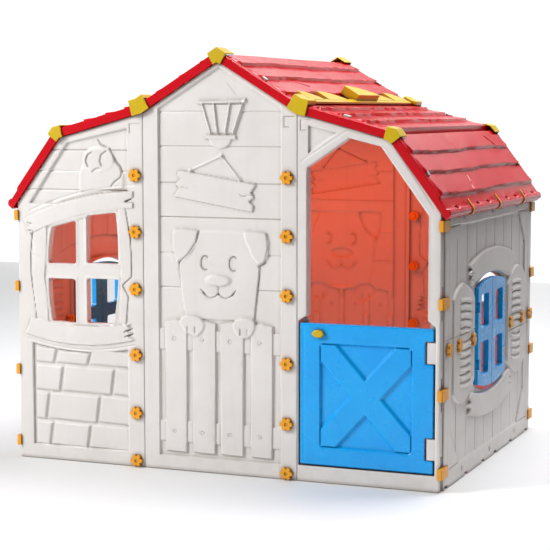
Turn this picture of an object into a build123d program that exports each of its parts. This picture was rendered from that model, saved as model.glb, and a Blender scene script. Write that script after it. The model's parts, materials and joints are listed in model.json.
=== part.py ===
"""Children's plastic playhouse: snap-together moulded wall panels under a six-panel gambrel roof.

Millimetres. +Z is up, the floor is z = 0, the front faces -Y, and the origin is the middle of the floor area.
The house is turned half round about Z to give the rear and left mouldings from the front and right ones.
"""
from build123d import *
import math
import os

os.makedirs("parts", exist_ok=True)

# ---------------------------------------------------------------- driving dimensions
HALF_WIDTH = 640.0            # centre to the outer edge of the front wall
HALF_DEPTH = 500.0            # centre to the outer face of the front wall
SIDE_X = 645.0                # centre to the outer face of a side wall
SEAM_X = 233.0                # centre to the joint between two front panels
SEAM_GAP = 0.4                # half of the gap at a panel joint
SKIN = 4.0                    # moulded wall thickness of a recessed field
FRAME = 10.0                  # thickness of a raised border
RECESS = 6.0                  # how far a field lies behind its border
WALL = 30.0                   # overall thickness of a wall, with its inner flange
FLANGE = 5.0                  # thickness of an inner flange
STRIP = 47.0                  # width of the snap strip at a panel's right edge
LAP_GAP = 0.6                 # gap between a strip and the tongue behind it
TONGUE = 5.0                  # thickness of the tongue behind a snap strip
TONGUE_TOP = 975.0

ROOF_LINE = [(652.0, 735.0), (497.0, 941.0), (233.0, 1011.5), (0.0, 1152.5)]    # underside, eave to ridge
ROOF_THICK = 22.0             # thickness at the thin end of a course
ROOF_STEP = 6.0               # height of the step where a course overlaps the next one down
ROOF_SKIN = 6.0               # skin left above the pocket in the underside
ROOF_LIP = 10.0               # width of the lip round the pocket
ROOF_HALF_DEPTH = 508.0       # centre to the fascia's face
ROOF_RIM = 18.0               # width of the smooth rim behind the fascia
ROOF_FIT = 0.4                # gap at each end of a roof panel
ROOF_REST = 1.0               # gap between the walls' tops and the roof
COURSES = [(55.0, 127.0, 193.0), (78.0, 150.0, 212.0), (57.0, 140.0, 214.0)]    # steps up each slope
EAVE_BEAD = 11.0              # radius of the roll along the eave
EAVE_RUN = 8.0                # distance of the roll's centre up the slope
EAVE_GROOVE = 19.5            # thickness in the groove behind the roll

SNAP_HEIGHTS = (19.0, 157.0, 324.0, 512.0, 675.0, 835.0)
SNAP_X = 257.0                # centre to the left seam's snaps
SNAP_X_MID = 204.0            # centre to the right seam's snaps
SNAP_CENTRE = 14.0            # radius of the middle of a flower-shaped snap head
SNAP_PETAL = 7.0              # radius of one of its six petals
SNAP_PETAL_OUT = 12.4         # distance of a petal from the middle
SNAP_HEAD_THICK = 9.0
SNAP_SHANK = 7.0              # radius of the shank
SNAP_HOLE = 7.5
SNAP_NUT = 15.0               # radius of the nut inside the wall
SNAP_NUT_THICK = 9.0

CLIP_HEIGHTS = (51.0, 262.0, 507.0, 714.0)
CLIP_TALL = 30.0
CLIP_DEEP = 58.0              # how far a right-hand corner clip reaches along the side wall
CLIP_SHALLOW = 40.0           # the same for a left-hand one
CLIP_THICK = 5.5
CLIP_LAP = 3.0                # how far a corner clip laps over the front face
CLIP_LEG = 6.0                # thickness of the part that laps over it
SLOT_TALL = 90.0              # slot in the corner flange behind a clip
SLOT_WIDE = 9.0
CLIP_BAND = 10.0              # width of an eave clip
CLIP_TAIL = 34.0              # how far up the slope an eave clip reaches

DOOR_LEFT = 241.0
DOOR_AXIS = (613.0, -488.0)   # x and y of the half-door's hinge line
DOOR_TOP = 440.0
DOOR_BOTTOM = 49.0
DOOR_THICK = 20.0
DOOR_PIN = 4.0                # radius of a hinge pin
DOOR_KNUCKLES = (115.0, 375.0)
KNUCKLE_TALL = 58.0
KNUCKLE_GAP = 1.0
PIN_REACH = 24.0              # how far a pin runs past its wall knuckle
PIN_FIT = 0.05                # radial running clearance

SIDE_HALF = 469.4             # half length of a side wall
SIDE_HEIGHT = 758.0
SIDE_THICK = 25.0
SIDE_STEP = 27.0              # how far the stepped seam lies above or below the middle
SEAM_SNAPS = (210.0, 351.0, 447.0)
WINDOW_HALF = 166.0           # half width of a side window's opening
WINDOW_SIDE = 136.0           # half height of the opening at its sides
WINDOW_BOW = 34.0             # how much higher the opening is at its middle
LEAF_AXIS_Y = 149.5
LEAF_AXIS_X = 641.0
LEAF_THICK = 16.0
LEAF_SIDE = 138.0             # half height of a window leaf at its hinge edge
LEAF_MIDDLE = 156.0           # half height at the meeting edge
LEAF_PIN = 3.0
LEAF_KNUCKLES = (-82.0, 82.0)
LEAF_KNUCKLE_TALL = 28.0
LEAF_PIN_REACH = 14.0
MID_Z = SIDE_HEIGHT / 2

HOOKS_Y = (-290.0, 0.0, 290.0)

CAP_DEEP = 60.0               # depth of a yellow cap from its front face
CAP_FRONT = 5.5               # how far a cap stands in front of the fascia
CAP_UNDER = 3.0               # how far a cap reaches below the roof's underside
CAP_SIZES = {"ridge": (14.0, 32.5), "valley": (29.0, 42.0), "knee": (14.0, 32.5)}   # reach and height of a cap
TAB_RISE = 33.0               # how far a wall tab reaches above the roof's underside


# ---------------------------------------------------------------- drawings of the relief, in the plane of a wall
# Points of an outline run anticlockwise, and each edge's bow is its rise to the left.
PLANKS = [
    ([(-622, 704), (-601, 659), (-264, 742), (-267, 752), (-292, 760), (-264, 770), (-264, 790)],
     [0, 19, 0, 0, 0, 0, -19]),
    ([(-597, 418), (-604, 394), (-618, 369), (-262, 366), (-300, 376), (-274, 389), (-298, 398), (-270, 412)],
     [0, 0, -24, 0, 0, 0, 0, 18]),
]
CHICK_BODY = ([(-436, 786), (-300, 797), (-303, 846), (-330, 872), (-420, 872)], [0, -6, -4, 0, -8])
CHICK_HEAD = ([(-424, 868), (-392, 842), (-350, 846), (-326, 874), (-340, 908), (-358, 914), (-376, 934),
               (-384, 914), (-414, 902)], [-4, -3, -4, -5, 0, 0, 0, -3, -4])

BRICK_ROWS = [(46.0, 110.0, (-530.0, -411.0)), (119.0, 195.0, (-547.0, -380.0)),
              (205.0, 278.0, (-497.0, -333.0)), (288.0, 318.0, (-516.0, -410.0))]
MORTAR = 9.0
BRICK_SLANT = 8.0

PICKETS = [(-165, -100), (-80, -12), (5, 73), (97, 160)]
RAILS = [(345, 404), (83, 142)]
CLAPBOARDS = (522.0, 620.0, 720.0, 817.0, 917.0)
MIDDLE_RELIEF = [
    ([(-106, 436), (106, 436), (123, 592), (128, 678), (-128, 678), (-123, 592)],
     [0, 0, -3, -10, 0, -3], 2.0),                                                            # head
    ([(-140, 682), (-124, 594), (-70, 650), (-64, 682)], [-8, -10, 0, -4], 5.0),                # left ear
    ([(76, 682), (92, 640), (124, 594), (147, 640), (140, 682)], [0, -4, -8, -4, -3], 5.0),     # right ear
    ([(-120, 430), (-112, 412), (-80, 390), (-52, 402), (-45, 424), (-62, 441), (-100, 443)],
     [-2, -3, -4, -3, -3, -3, -4], 4.0),                                                      # left paw
    ([(44, 428), (52, 402), (78, 388), (98, 414), (111, 432), (94, 443), (60, 441)],
     [-3, -4, -3, -2, -3, -3, -3], 4.0),                                                      # right paw
    ([(-139, 778), (98, 740), (103, 768), (94, 776), (108, 796), (112, 814), (-129, 850)], None, 0.0),  # sign
    ([(-25, 955), (44, 955), (72, 1036), (-50, 1036)], None, 0.0),                              # lantern glass
    ([(-32, 937), (4, 910), (40, 937)], [-6, -6, 0], 0.0),                                    # lantern bowl
]
MIDDLE_BARS = [
    ((-62, 1042), (80, 1042), 6, 2.0), ((-42, 943), (52, 943), 8, 2.0),
    ((-50, 1036), (-25, 955), 6, 2.0), ((-14, 1036), (-4, 955), 5, 2.0), ((34, 1036), (22, 955), 5, 2.0),
    ((72, 1036), (44, 955), 6, 2.0), ((-62, 856), (8, 890), 6, -1.0), ((8, 890), (66, 838), 6, -1.0),
]

ARCH_PLANK = ([(-236, 584), (-222, 566), (-206, 560), (-186, 520), (186, 520), (250, 556), (262, 586)],
              [0, 0, 0, 34, 0, 0, -32])
BOARD_GROOVES = (-345.0, -247.0, -148.0, -50.0, 50.0, 148.0, 247.0, 345.0)
NOTCHES = (-446.0, -250.0, -69.0, 69.0, 250.0, 446.0)
LOUVRES = 5
LOUVRE_PITCH = 22.5

WAVES = [(-430.0, 52.0, 110.0, 9.0), (-280.0, 54.0, 150.0, 9.0), (-60.0, 60.0, 190.0, 26.0),
         (150.0, 54.0, 140.0, 9.0), (306.0, 54.0, 130.0, 9.0)]       # y, reach, length and height of a ridge


# ---------------------------------------------------------------- small helpers
def front_plane(depth):
    """Plane parallel to the front wall; depth is the distance in front of its outer face."""
    return Plane(origin=(0, -HALF_DEPTH - depth, 0), x_dir=(1, 0, 0), z_dir=(0, -1, 0))


def side_plane(depth):
    """Plane parallel to the right wall; depth is the distance outside its outer face."""
    return Plane(origin=(SIDE_X + depth, 0, 0), x_dir=(0, 1, 0), z_dir=(1, 0, 0))


def shape(points, bows=None, radius=0.0):
    """Face through the points; bows gives each edge's rise to its left, and radius rounds the corners."""
    ends = list(points[1:]) + [points[0]]
    edges = []
    for index, (start, end) in enumerate(zip(points, ends)):
        bow = bows[index] if bows else 0.0
        if bow == 0.0:
            edges.append(Line(start, end))
            continue
        span = math.dist(start, end)
        middle = ((start[0] + end[0]) / 2 - (end[1] - start[1]) / span * bow,
                  (start[1] + end[1]) / 2 + (end[0] - start[0]) / span * bow)
        edges.append(ThreePointArc(start, middle, end))
    face = make_face(edges)
    return fillet(face.vertices(), radius) if radius else face


def flipped(points, bows):
    """Outline mirrored left to right, with its points in the same sense of turn."""
    back = [(-x, y) for x, y in reversed(points)]
    return back, [bows[index] for index in range(len(bows) - 2, -1, -1)] + [bows[-1]]


def block(face, plane_at, low, high, taper=0.0):
    """Solid on a face between two depths of a family of parallel planes."""
    return extrude(plane_at(low) * face, amount=high - low, taper=taper)


def rect(left, low, right, high):
    return shape([(left, low), (right, low), (right, high), (left, high)])


def disc(x, z, radius):
    return Pos(x, z) * Circle(radius)


def bar(start, end, width):
    """Straight strip of the given width between two points."""
    run = math.dist(start, end)
    side = ((start[1] - end[1]) / run * width / 2, (end[0] - start[0]) / run * width / 2)
    return shape([(start[0] + side[0], start[1] + side[1]), (start[0] - side[0], start[1] - side[1]),
                  (end[0] - side[0], end[1] - side[1]), (end[0] + side[0], end[1] + side[1])])


def ring(face, width, inward=True):
    """Band of the given width just inside or just outside a face's outline."""
    if inward:
        return face - offset(face, -width, kind=Kind.INTERSECTION)
    return offset(face, width, kind=Kind.INTERSECTION) - face


def joined(solids):
    """Union of the solids, one after the other."""
    total = None
    for solid in solids:
        total = solid if total is None else total + solid
    return total


def half_turn(solid):
    return Rot(0, 0, 180) * solid


def save(node, solids, colour):
    """Write one sub-part, as one solid or as a group of separate ones."""
    group = solids if isinstance(solids, list) else [solids]
    pieces = [piece for item in group for piece in item.solids()]
    part = pieces[0] if len(pieces) == 1 else Compound(children=pieces)
    part.color = Color(colour)
    part.label = node
    export_step(part, f"parts/{node}.step")
    print(node, len(pieces), "solids")


# ---------------------------------------------------------------- roof geometry
def slope(index):
    """Start, direction up the slope, outward normal and length of one roof slope on the right-hand side."""
    start, end = ROOF_LINE[index], ROOF_LINE[index + 1]
    length = math.dist(start, end)
    along = ((end[0] - start[0]) / length, (end[1] - start[1]) / length)
    return start, along, (along[1], -along[0]), length


def on_slope(index, run, rise):
    start, along, normal, _ = slope(index)
    return start[0] + along[0] * run + normal[0] * rise, start[1] + along[1] * run + normal[1] * rise


EAVE_CENTRE = on_slope(0, EAVE_RUN, EAVE_BEAD)      # centre of the roll along the eave


def mitre(index, rise):
    """Corner of the roof's outline at a break, pushed out by rise."""
    point = ROOF_LINE[index]
    if index == 0:
        return on_slope(0, 0.0, rise)
    before = slope(index - 1)[2]
    after = slope(index)[2] if index < 3 else (-before[0], before[1])
    scale = rise / (1 + before[0] * after[0] + before[1] * after[1])
    return point[0] + (before[0] + after[0]) * scale, point[1] + (before[1] + after[1]) * scale


def roof_under(x):
    """Height of the roof's underside over a point of the front wall."""
    x = abs(x)
    for (outer_x, outer_z), (inner_x, inner_z) in zip(ROOF_LINE, ROOF_LINE[1:]):
        if x >= inner_x:
            return outer_z + (outer_x - x) / (outer_x - inner_x) * (inner_z - outer_z)
    return ROOF_LINE[-1][1]


def wall_top(x):
    return roof_under(x) - ROOF_REST


def xz_prism(points, y_low, y_high, bows=None, radius=0.0):
    """Solid with an outline in X and Z, from y_low to y_high."""
    plane = Plane(origin=(0, y_high, 0), x_dir=(1, 0, 0), z_dir=(0, -1, 0))
    return extrude(plane * shape(points, bows, radius), amount=y_high - y_low)


def roof_band(index, low, high, shrink=ROOF_FIT):
    """Plain band of a slope between two rises, drawn in by shrink at both ends."""
    _, along, _, _ = slope(index)
    lower = [mitre(index, low), mitre(index, high)]
    upper = [mitre(index + 1, high), mitre(index + 1, low)]
    return ([(x + along[0] * shrink, z + along[1] * shrink) for x, z in lower]
            + [(x - along[0] * shrink, z - along[1] * shrink) for x, z in upper])


def tab_run(index):
    return slope(index)[3] * 0.5


def roof_panel(index):
    """One roof moulding: stepped courses over an underside pocket, with smooth rims front and rear."""
    _, _, normal, length = slope(index)
    outline = roof_band(index, 0.0, ROOF_THICK)
    lower_corner, upper_corner = outline[1], outline[2]
    steps = []
    for run in COURSES[index]:
        steps.append(on_slope(index, run, ROOF_THICK))
        steps.append(on_slope(index, run, ROOF_THICK + ROOF_STEP))
    if index == 0:
        steps[0] = on_slope(0, COURSES[0][0], EAVE_GROOVE)
        start = [on_slope(0, EAVE_RUN, 0.0), on_slope(0, EAVE_RUN, ROOF_THICK),
                 on_slope(0, EAVE_RUN + 24.0, EAVE_GROOVE)]
    else:
        start = [outline[0], lower_corner, (lower_corner[0] + normal[0] * ROOF_STEP,
                                            lower_corner[1] + normal[1] * ROOF_STEP)]
    top = start + steps + [upper_corner, outline[3]]
    field_y = ROOF_HALF_DEPTH - ROOF_RIM
    rim = roof_band(index, 0.0, ROOF_THICK)
    solids = [xz_prism(top, -field_y, field_y),
              xz_prism(rim, -ROOF_HALF_DEPTH, -field_y),
              xz_prism(rim, field_y, ROOF_HALF_DEPTH)]
    if index == 0:
        centre = EAVE_CENTRE
        bead = Pos(centre[0], 0, centre[1]) * Rot(90, 0, 0) * Cylinder(EAVE_BEAD, 2 * ROOF_HALF_DEPTH)
        solids.append(bead)
    panel = joined(solids)
    depth = ROOF_THICK - ROOF_SKIN
    pocket = [on_slope(index, ROOF_LIP, -5.0), on_slope(index, length - ROOF_LIP, -5.0),
              on_slope(index, length - ROOF_LIP, depth), on_slope(index, ROOF_LIP, depth)]
    pocket_y = HALF_DEPTH - WALL + 1.0
    panel -= xz_prism(pocket, -pocket_y, pocket_y)
    run = tab_run(index)
    slot = [on_slope(index, run - 13, -5), on_slope(index, run + 13, -5),
            on_slope(index, run + 13, 40), on_slope(index, run - 13, 40)]
    for y in (-HALF_DEPTH + 18, HALF_DEPTH - 18):
        panel -= xz_prism(slot, y - 6, y + 6)
    return panel


def wall_tab(index):
    """Tongue on a wall's top edge that comes up through the roof panel's slot."""
    run = tab_run(index)
    outline = [on_slope(index, run - 11, -14), on_slope(index, run + 11, -14),
               on_slope(index, run + 9, TAB_RISE), on_slope(index, run - 9, TAB_RISE)]
    return xz_prism(outline, -HALF_DEPTH + 13.5, -HALF_DEPTH + 22.5)


def roof_cap(breaks, reach, top_rise):
    """Yellow cap that wraps a joint of the fascia and runs a little way back over the roof."""
    front = -ROOF_HALF_DEPTH - CAP_FRONT
    under = ROOF_THICK + ROOF_STEP + 1.0
    before, run = breaks - 1, slope(breaks - 1)[3] - reach
    low, high = on_slope(before, run, -CAP_UNDER), on_slope(before, run, top_rise)
    hollow_low, hollow_high = on_slope(before, run - 9, -9.0), on_slope(before, run - 9, under)
    if breaks == 3:
        far_low, far_high = (-low[0], low[1]), (-high[0], high[1])
        hollow_far = [(-hollow_low[0], hollow_low[1]), (-hollow_high[0], hollow_high[1])]
    else:
        far_low, far_high = on_slope(breaks, reach, -CAP_UNDER), on_slope(breaks, reach, top_rise)
        hollow_far = [on_slope(breaks, reach + 9, -9.0), on_slope(breaks, reach + 9, under)]
    outline = [low, mitre(breaks, -CAP_UNDER), far_low, far_high, mitre(breaks, top_rise), high]
    hollow = [hollow_low, mitre(breaks, -9.0)] + hollow_far + [mitre(breaks, under), hollow_high]
    return xz_prism(outline, front, front + CAP_DEEP) - xz_prism(hollow, -ROOF_HALF_DEPTH - 0.5, 0.0)


def valley_trim():
    """Full-depth yellow trim over the upper break, with wave-shaped ridges on its roof side."""
    rise = ROOF_THICK + ROOF_STEP + 1.0
    half = ROOF_HALF_DEPTH - 64.0
    low = slope(1)[3] - 16.0
    strip = xz_prism([on_slope(1, low, rise), mitre(2, rise), on_slope(2, 16.0, rise),
                      on_slope(2, 16.0, rise + 6.0), mitre(2, rise + 8.0), on_slope(1, low, rise + 6.0)],
                     -half, half)
    _, along, normal, _ = slope(2)
    start = on_slope(2, 0.0, rise)
    plane = Plane(origin=(start[0], 0, start[1]), x_dir=(0, 1, 0), z_dir=(normal[0], 0, normal[1]))
    ridges = []
    for y, reach, length, height in WAVES:
        tail = y + length
        outline = shape([(y, 6.0), (tail, 6.0), (tail, 12.0), (y + 14.0, reach), (y, reach)],
                        [0.0, 0.0, -reach * 0.16, 0.0, 0.0])
        ridges.append(extrude(plane * outline, amount=height))
    return joined([strip] + ridges)


# ---------------------------------------------------------------- relief shared by several walls
def window_panes():
    """The four openings of a barrel-shaped front window."""
    return [shape([(-541, 577), (-450, 577), (-450, 703), (-529, 682)], [0, 0, 0, -3], 7),
            shape([(-415, 581), (-314, 581), (-321, 728), (-415, 717)], [0, -3, 0, 0], 7),
            shape([(-529, 408), (-452, 403), (-452, 533), (-541, 533)], [0, 0, 0, -3], 7),
            shape([(-415, 406), (-331, 408), (-314, 537), (-415, 537)], [0, -3, 0, 0], 7)]


def window_wall(strip=True):
    """Panel with the barrel window, two bent planks, a brick field and a chick in the gable.

    With strip, its seam edge laps over the middle panel; without, it carries the tongue behind that panel's strip.
    """
    edge = -SEAM_X - SEAM_GAP
    inner = edge - STRIP - 5
    outline = shape([(-HALF_WIDTH, 0), (edge, 0), (edge, wall_top(SEAM_X)), (-497, wall_top(497)),
                     (-HALF_WIDTH, wall_top(HALF_WIDTH))])
    bricks_field = shape([(-594, 42), (inner, 42), (inner, 338), (-594, 342)], [0, 0, 14, 0])
    gable_field = shape([(-598, 752), (inner, 752), (inner, 966), (-476, 922)])
    window_field = shape([(-562, 398), (-302, 398), (-302, 735), (-562, 672)], [0, -12, 0, -12])
    panes = window_panes()
    holes = joined(block(pane, front_plane, -WALL - 5, 12) for pane in panes)
    fields = [block(face, front_plane, -RECESS, 5) for face in (bricks_field, gable_field, window_field)]
    hollows = [block(offset(face, -3.0), front_plane, -WALL, -RECESS - SKIN)
               for face in (bricks_field, gable_field)]
    solids = [block(outline, front_plane, -FRAME, 0) - joined(fields + hollows)]
    if strip:
        flange_zone = outline - rect(edge - STRIP - 2, -10, 0, 2000)
        solids.append(block(rect(edge - STRIP - 7, 0, edge - STRIP - 2, 960), front_plane, -WALL + 8, -FRAME))
    else:
        flange_zone = outline - rect(edge - 10, 980, 0, 2000)
        solids.append(tongue(edge - 4, -SEAM_X + STRIP - 3, TONGUE_TOP))
    solids.append(block(ring(outline, FLANGE) & flange_zone, front_plane, -WALL, -FRAME))
    solids += [block(ring(pane, 4.0, inward=False), front_plane, -24, -FRAME) for pane in panes]
    solids += [block(face, front_plane, -RECESS - 1, -1.0, taper=8) for face in brick_faces(inner)]
    for plank in PLANKS:
        solids.append(block(shape(*plank), front_plane, -RECESS - 1, 4.0))
    solids.append(block(rect(-450, 398, -415, 735) & window_field, front_plane, -RECESS - 1, -2.0))
    solids.append(block(rect(-562, 536, -302, 578) & window_field, front_plane, -RECESS - 1, -2.0))
    solids.append(block(shape(*CHICK_BODY), front_plane, -RECESS - 1, 0.0))
    solids.append(block(shape(*CHICK_HEAD), front_plane, -RECESS - 1, 3.0))
    solids.append(wall_tab_left(0))
    solids.append(wall_tab_left(1))
    wall = joined(solids) - holes
    snap_x = SNAP_X if strip else SNAP_X_MID
    for z in SNAP_HEIGHTS:
        wall -= block(disc(-snap_x, z, SNAP_HOLE), front_plane, -WALL, 12)
    return cut_corner_slots(wall, -1)


def wall_tab_left(index):
    return mirror(wall_tab(index), about=Plane.YZ)


def brick_faces(right):
    """Four rows of uneven bricks; the joints lean a little."""
    faces = []
    for low, high, joints in BRICK_ROWS:
        lefts = (-589.0,) + tuple(x + MORTAR / 2 for x in joints)
        rights = tuple(x - MORTAR / 2 for x in joints) + (right - 1.0,)
        for number, (start, end) in enumerate(zip(lefts, rights)):
            lean_left = 0.0 if number == 0 else BRICK_SLANT / 2
            lean_right = 0.0 if number == len(joints) else BRICK_SLANT / 2
            faces.append(shape([(start - lean_left, low), (end - lean_right, low),
                                (end + lean_right, high), (start + lean_left, high)]))
    return faces


def cut_corner_slots(wall, side):
    """Slots in the corner flange that the corner clips' straps pass through."""
    for z in CLIP_HEIGHTS[:3]:
        x = side * (HALF_WIDTH - FLANGE / 2)
        wall -= Pos(x, -HALF_DEPTH + 20, z) * Box(FLANGE * 3, SLOT_WIDE, SLOT_TALL)
    return wall


def tongue(left, right, top):
    """Edge tongue that lies behind the neighbour's snap strip."""
    depth = -FRAME - LAP_GAP
    return block(rect(left, 6, right, top), front_plane, depth - TONGUE, depth)


def middle_wall():
    """Middle panel: lantern, hanging sign, and a puppy looking over a picket fence."""
    edge = SEAM_X - SEAM_GAP
    outline = shape([(-edge, 0), (edge, 0), (edge, wall_top(edge)), (0, wall_top(0)), (-edge, wall_top(edge))])
    field = shape([(-182, 42), (184, 42), (184, 1024), (0, 1135), (-182, 1024)])
    solids = [block(outline, front_plane, -FRAME, 0) - block(field, front_plane, -RECESS, 5)
              - block(offset(field, -3.0), front_plane, -WALL, -RECESS - SKIN)]
    flange_zone = outline - rect(edge - STRIP - 2, -10, 400, 980)
    solids.append(block(ring(outline, FLANGE) & flange_zone, front_plane, -WALL, -FRAME))
    tongue_left = -edge - STRIP + 2
    solids.append(tongue(tongue_left, -edge + 4, wall_top(SEAM_X + STRIP) - 12))
    solids.append(block(rect(-edge, 6, -edge + 8, 900), front_plane, -FRAME - 8, -FRAME))
    for left, right in PICKETS:
        solids.append(block(rect(left, 56, right, 430), front_plane, -RECESS - 1, 1.0, taper=5))
    for low, high in RAILS:
        solids.append(block(rect(-183, low, 184, high), front_plane, -RECESS - 1, -2.0))
    for outline_points, bows, height in MIDDLE_RELIEF:
        solids.append(block(shape(outline_points, bows), front_plane, -RECESS - 1, height))
    for start, end, width, height in MIDDLE_BARS:
        solids.append(block(bar(start, end, width), front_plane, -RECESS - 1, height))
    nose = Pos(-2, 546) * Ellipse(41, 15)
    solids.append(block(nose, front_plane, 1.0, 7.0))
    for x in (-45, 42):
        eye = disc(x, 597, 19) - disc(x + 7, 597, 15)
        solids.append(block(eye, front_plane, 1.0, 4.0))
    for x in (-1, 1):
        solids.append(mirror(wall_tab(2), about=Plane.YZ) if x < 0 else wall_tab(2))
    wall = joined(solids)
    for z in CLAPBOARDS:
        wall -= block(rect(-182, z - 1.5, -141, z + 1.5), front_plane, -RECESS - 1.5, -RECESS)
        wall -= block(rect(146, z - 1.5, 184, z + 1.5), front_plane, -RECESS - 1.5, -RECESS)
    for z in SNAP_HEIGHTS:
        wall -= block(disc(-SNAP_X, z, SNAP_HOLE), front_plane, -WALL, 12)
        wall -= block(disc(SNAP_X_MID, z, SNAP_HOLE), front_plane, -WALL, 12)
    return wall


def door_opening():
    """Opening of the doorway above the half-door, with a brace across its upper left corner."""
    return shape([(262, 452), (604, 452), (606, 741), (472, 922), (382, 944), (262, 864)])


def door_wall():
    """Front panel with the doorway: a wide rebate for the half-door and a lip that stops it."""
    edge = SEAM_X + SEAM_GAP
    outline = shape([(edge, 0), (HALF_WIDTH, 0), (HALF_WIDTH, wall_top(HALF_WIDTH)), (497, wall_top(497)),
                     (edge, wall_top(edge))])
    rebate = shape([(238, 45), (628, 45), (628, 448), (604, 462), (262, 462), (238, 448)])
    opening = door_opening()
    triangle = shape([(264, 906), (344, 958), (264, 976)])
    cut = block(opening, front_plane, -WALL - 5, 5) + block(rebate, front_plane, -WALL + 5, 5)
    cut += block(triangle, front_plane, -RECESS, 5)
    inner = block(rect(258, 62, 608, 470), front_plane, -WALL - 5, 5)
    solids = [block(outline, front_plane, -FRAME, 0)]
    sides = outline - rect(0, 980, SEAM_X + 6, 1100)
    solids.append(block(ring(outline, FLANGE) & sides, front_plane, -WALL, -FRAME))
    solids.append(block((ring(opening, FLANGE, inward=False) + ring(rebate, FLANGE, inward=False)) & outline,
                        front_plane, -WALL + 1, -FRAME))
    solids.append(block(rect(236, 2, 638, 470), front_plane, -WALL, -WALL + 5))
    tongue_left = SEAM_X - STRIP + 3
    solids.append(tongue(tongue_left, edge + 4, TONGUE_TOP))
    solids += [wall_tab(0), wall_tab(1)]
    wall = joined(solids) - cut - inner
    knuckles = []
    x, y = DOOR_AXIS
    for z in DOOR_KNUCKLES:
        barrel = Pos(x, y, z) * Cylinder(DOOR_THICK / 2 - 1, KNUCKLE_TALL)
        web = Pos((x + 632) / 2, y, z) * Box(632 - x, DOOR_THICK - 4, KNUCKLE_TALL)
        knuckles.append(barrel + web)
    wall = joined([wall] + knuckles)
    for z in DOOR_KNUCKLES:
        wall -= Pos(x, y, z) * Cylinder(DOOR_PIN + PIN_FIT, KNUCKLE_TALL + 2)
    for z in SNAP_HEIGHTS:
        wall -= block(disc(SNAP_X_MID, z, SNAP_HOLE), front_plane, -WALL, 12)
    return cut_corner_slots(wall, 1)


def half_door():
    """Half-door leaf: flat frame, square recess and a raised cross; its hinge edge is rounded."""
    x, y = DOOR_AXIS
    half = DOOR_THICK / 2
    height = DOOR_TOP - DOOR_BOTTOM
    middle = (DOOR_TOP + DOOR_BOTTOM) / 2
    leaf = Pos((DOOR_LEFT + x) / 2, y, middle) * Box(x - DOOR_LEFT, DOOR_THICK, height)
    leaf = leaf + Pos(x, y, middle) * Cylinder(half, height)
    square = shape([(301, 100), (561, 100), (561, 385), (301, 385)])
    arms = [bar((296, 88), (566, 397), 66), bar((296, 397), (566, 88), 66)]
    field = square - arms[0] - arms[1]
    leaf -= block(field, front_plane, -9.0, 5.0)
    for arm in arms:
        leaf -= block(square & arm, front_plane, -3.0, 5.0)
    for z in DOOR_KNUCKLES:
        notch = KNUCKLE_TALL + 2 * KNUCKLE_GAP
        leaf -= Pos(x, y, z) * Box(2 * (half + 4), DOOR_THICK + 2, notch)
        leaf -= Pos(x, y, z) * Cylinder(DOOR_PIN + PIN_FIT, notch + 2 * PIN_REACH + 2)
    leaf -= Pos(297, y, 413) * Rot(90, 0, 0) * Cylinder(6.0, DOOR_THICK + 4)
    return leaf


def door_pins():
    x, y = DOOR_AXIS
    length = KNUCKLE_TALL + 2 * KNUCKLE_GAP + 2 * PIN_REACH
    return [Pos(x, y, z) * Cylinder(DOOR_PIN, length) for z in DOOR_KNUCKLES]


def door_knob():
    """Oval pull with a stem through the leaf and a washer on the inside."""
    y = DOOR_AXIS[1]
    front = y - DOOR_THICK / 2
    head = extrude(Plane(origin=(297, front - 0.3, 413), x_dir=(1, 0, 0), z_dir=(0, -1, 0)) * Ellipse(17, 11),
                   amount=12)
    head = fillet(head.faces().sort_by(Axis.Y)[0].edges(), 4)
    stem = Pos(297, y, 413) * Rot(90, 0, 0) * Cylinder(5.7, DOOR_THICK + 2)
    washer = Pos(297, y + DOOR_THICK / 2 + 2.2, 413) * Rot(90, 0, 0) * Cylinder(11, 3.6)
    return head + stem + washer


# ---------------------------------------------------------------- fasteners
def flower(x, z):
    """Six-petalled outline of a snap head."""
    head = disc(x, z, SNAP_CENTRE)
    for count in range(6):
        turn = math.radians(60 * count)
        head += disc(x + SNAP_PETAL_OUT * math.cos(turn), z + SNAP_PETAL_OUT * math.sin(turn), SNAP_PETAL)
    return head


def snap(x, z, clamp):
    """Flower-headed plastic snap bolt through a seam; clamp is the depth of the two skins together."""
    bolt = block(flower(x, z), front_plane, 0.3, 0.3 + SNAP_HEAD_THICK, taper=8)
    bolt += block(disc(x, z, SNAP_SHANK), front_plane, -clamp - SNAP_NUT_THICK - 2, 1)
    return bolt - block(disc(x, z, 5), front_plane, SNAP_HEAD_THICK - 2, SNAP_HEAD_THICK + 3)


def snap_nut(x, z, clamp):
    """Round nut on a snap bolt's inner end."""
    nut = disc(x, z, SNAP_NUT) - disc(x, z, SNAP_SHANK + 0.1)
    return block(nut, front_plane, -clamp - SNAP_NUT_THICK, -clamp - 0.4)


def corner_clips(side):
    """Four L-shaped clips that wrap one front corner and hold the side wall to it."""
    outer = SIDE_X + CLIP_THICK
    back = -HALF_DEPTH + (CLIP_DEEP if side > 0 else CLIP_SHALLOW)
    lap, front = HALF_WIDTH - CLIP_LAP, -HALF_DEPTH - CLIP_LEG
    plan = [(lap, front), (outer, front), (outer, back), (SIDE_X + 0.5, back),
            (SIDE_X + 0.5, -SIDE_HALF), (HALF_WIDTH + 0.5, -SIDE_HALF), (HALF_WIDTH + 0.5, -HALF_DEPTH - 0.5),
            (lap, -HALF_DEPTH - 0.5)]
    clips = []
    for z in CLIP_HEIGHTS:
        clip = extrude(Plane.XY.offset(z - CLIP_TALL / 2) * shape(plan), amount=CLIP_TALL)
        clip = fillet(clip.edges().filter_by(Axis.Z).sort_by(Axis.X)[-2:], 4)
        clips.append(clip if side > 0 else mirror(clip, about=Plane.YZ))
    return clips


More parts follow.
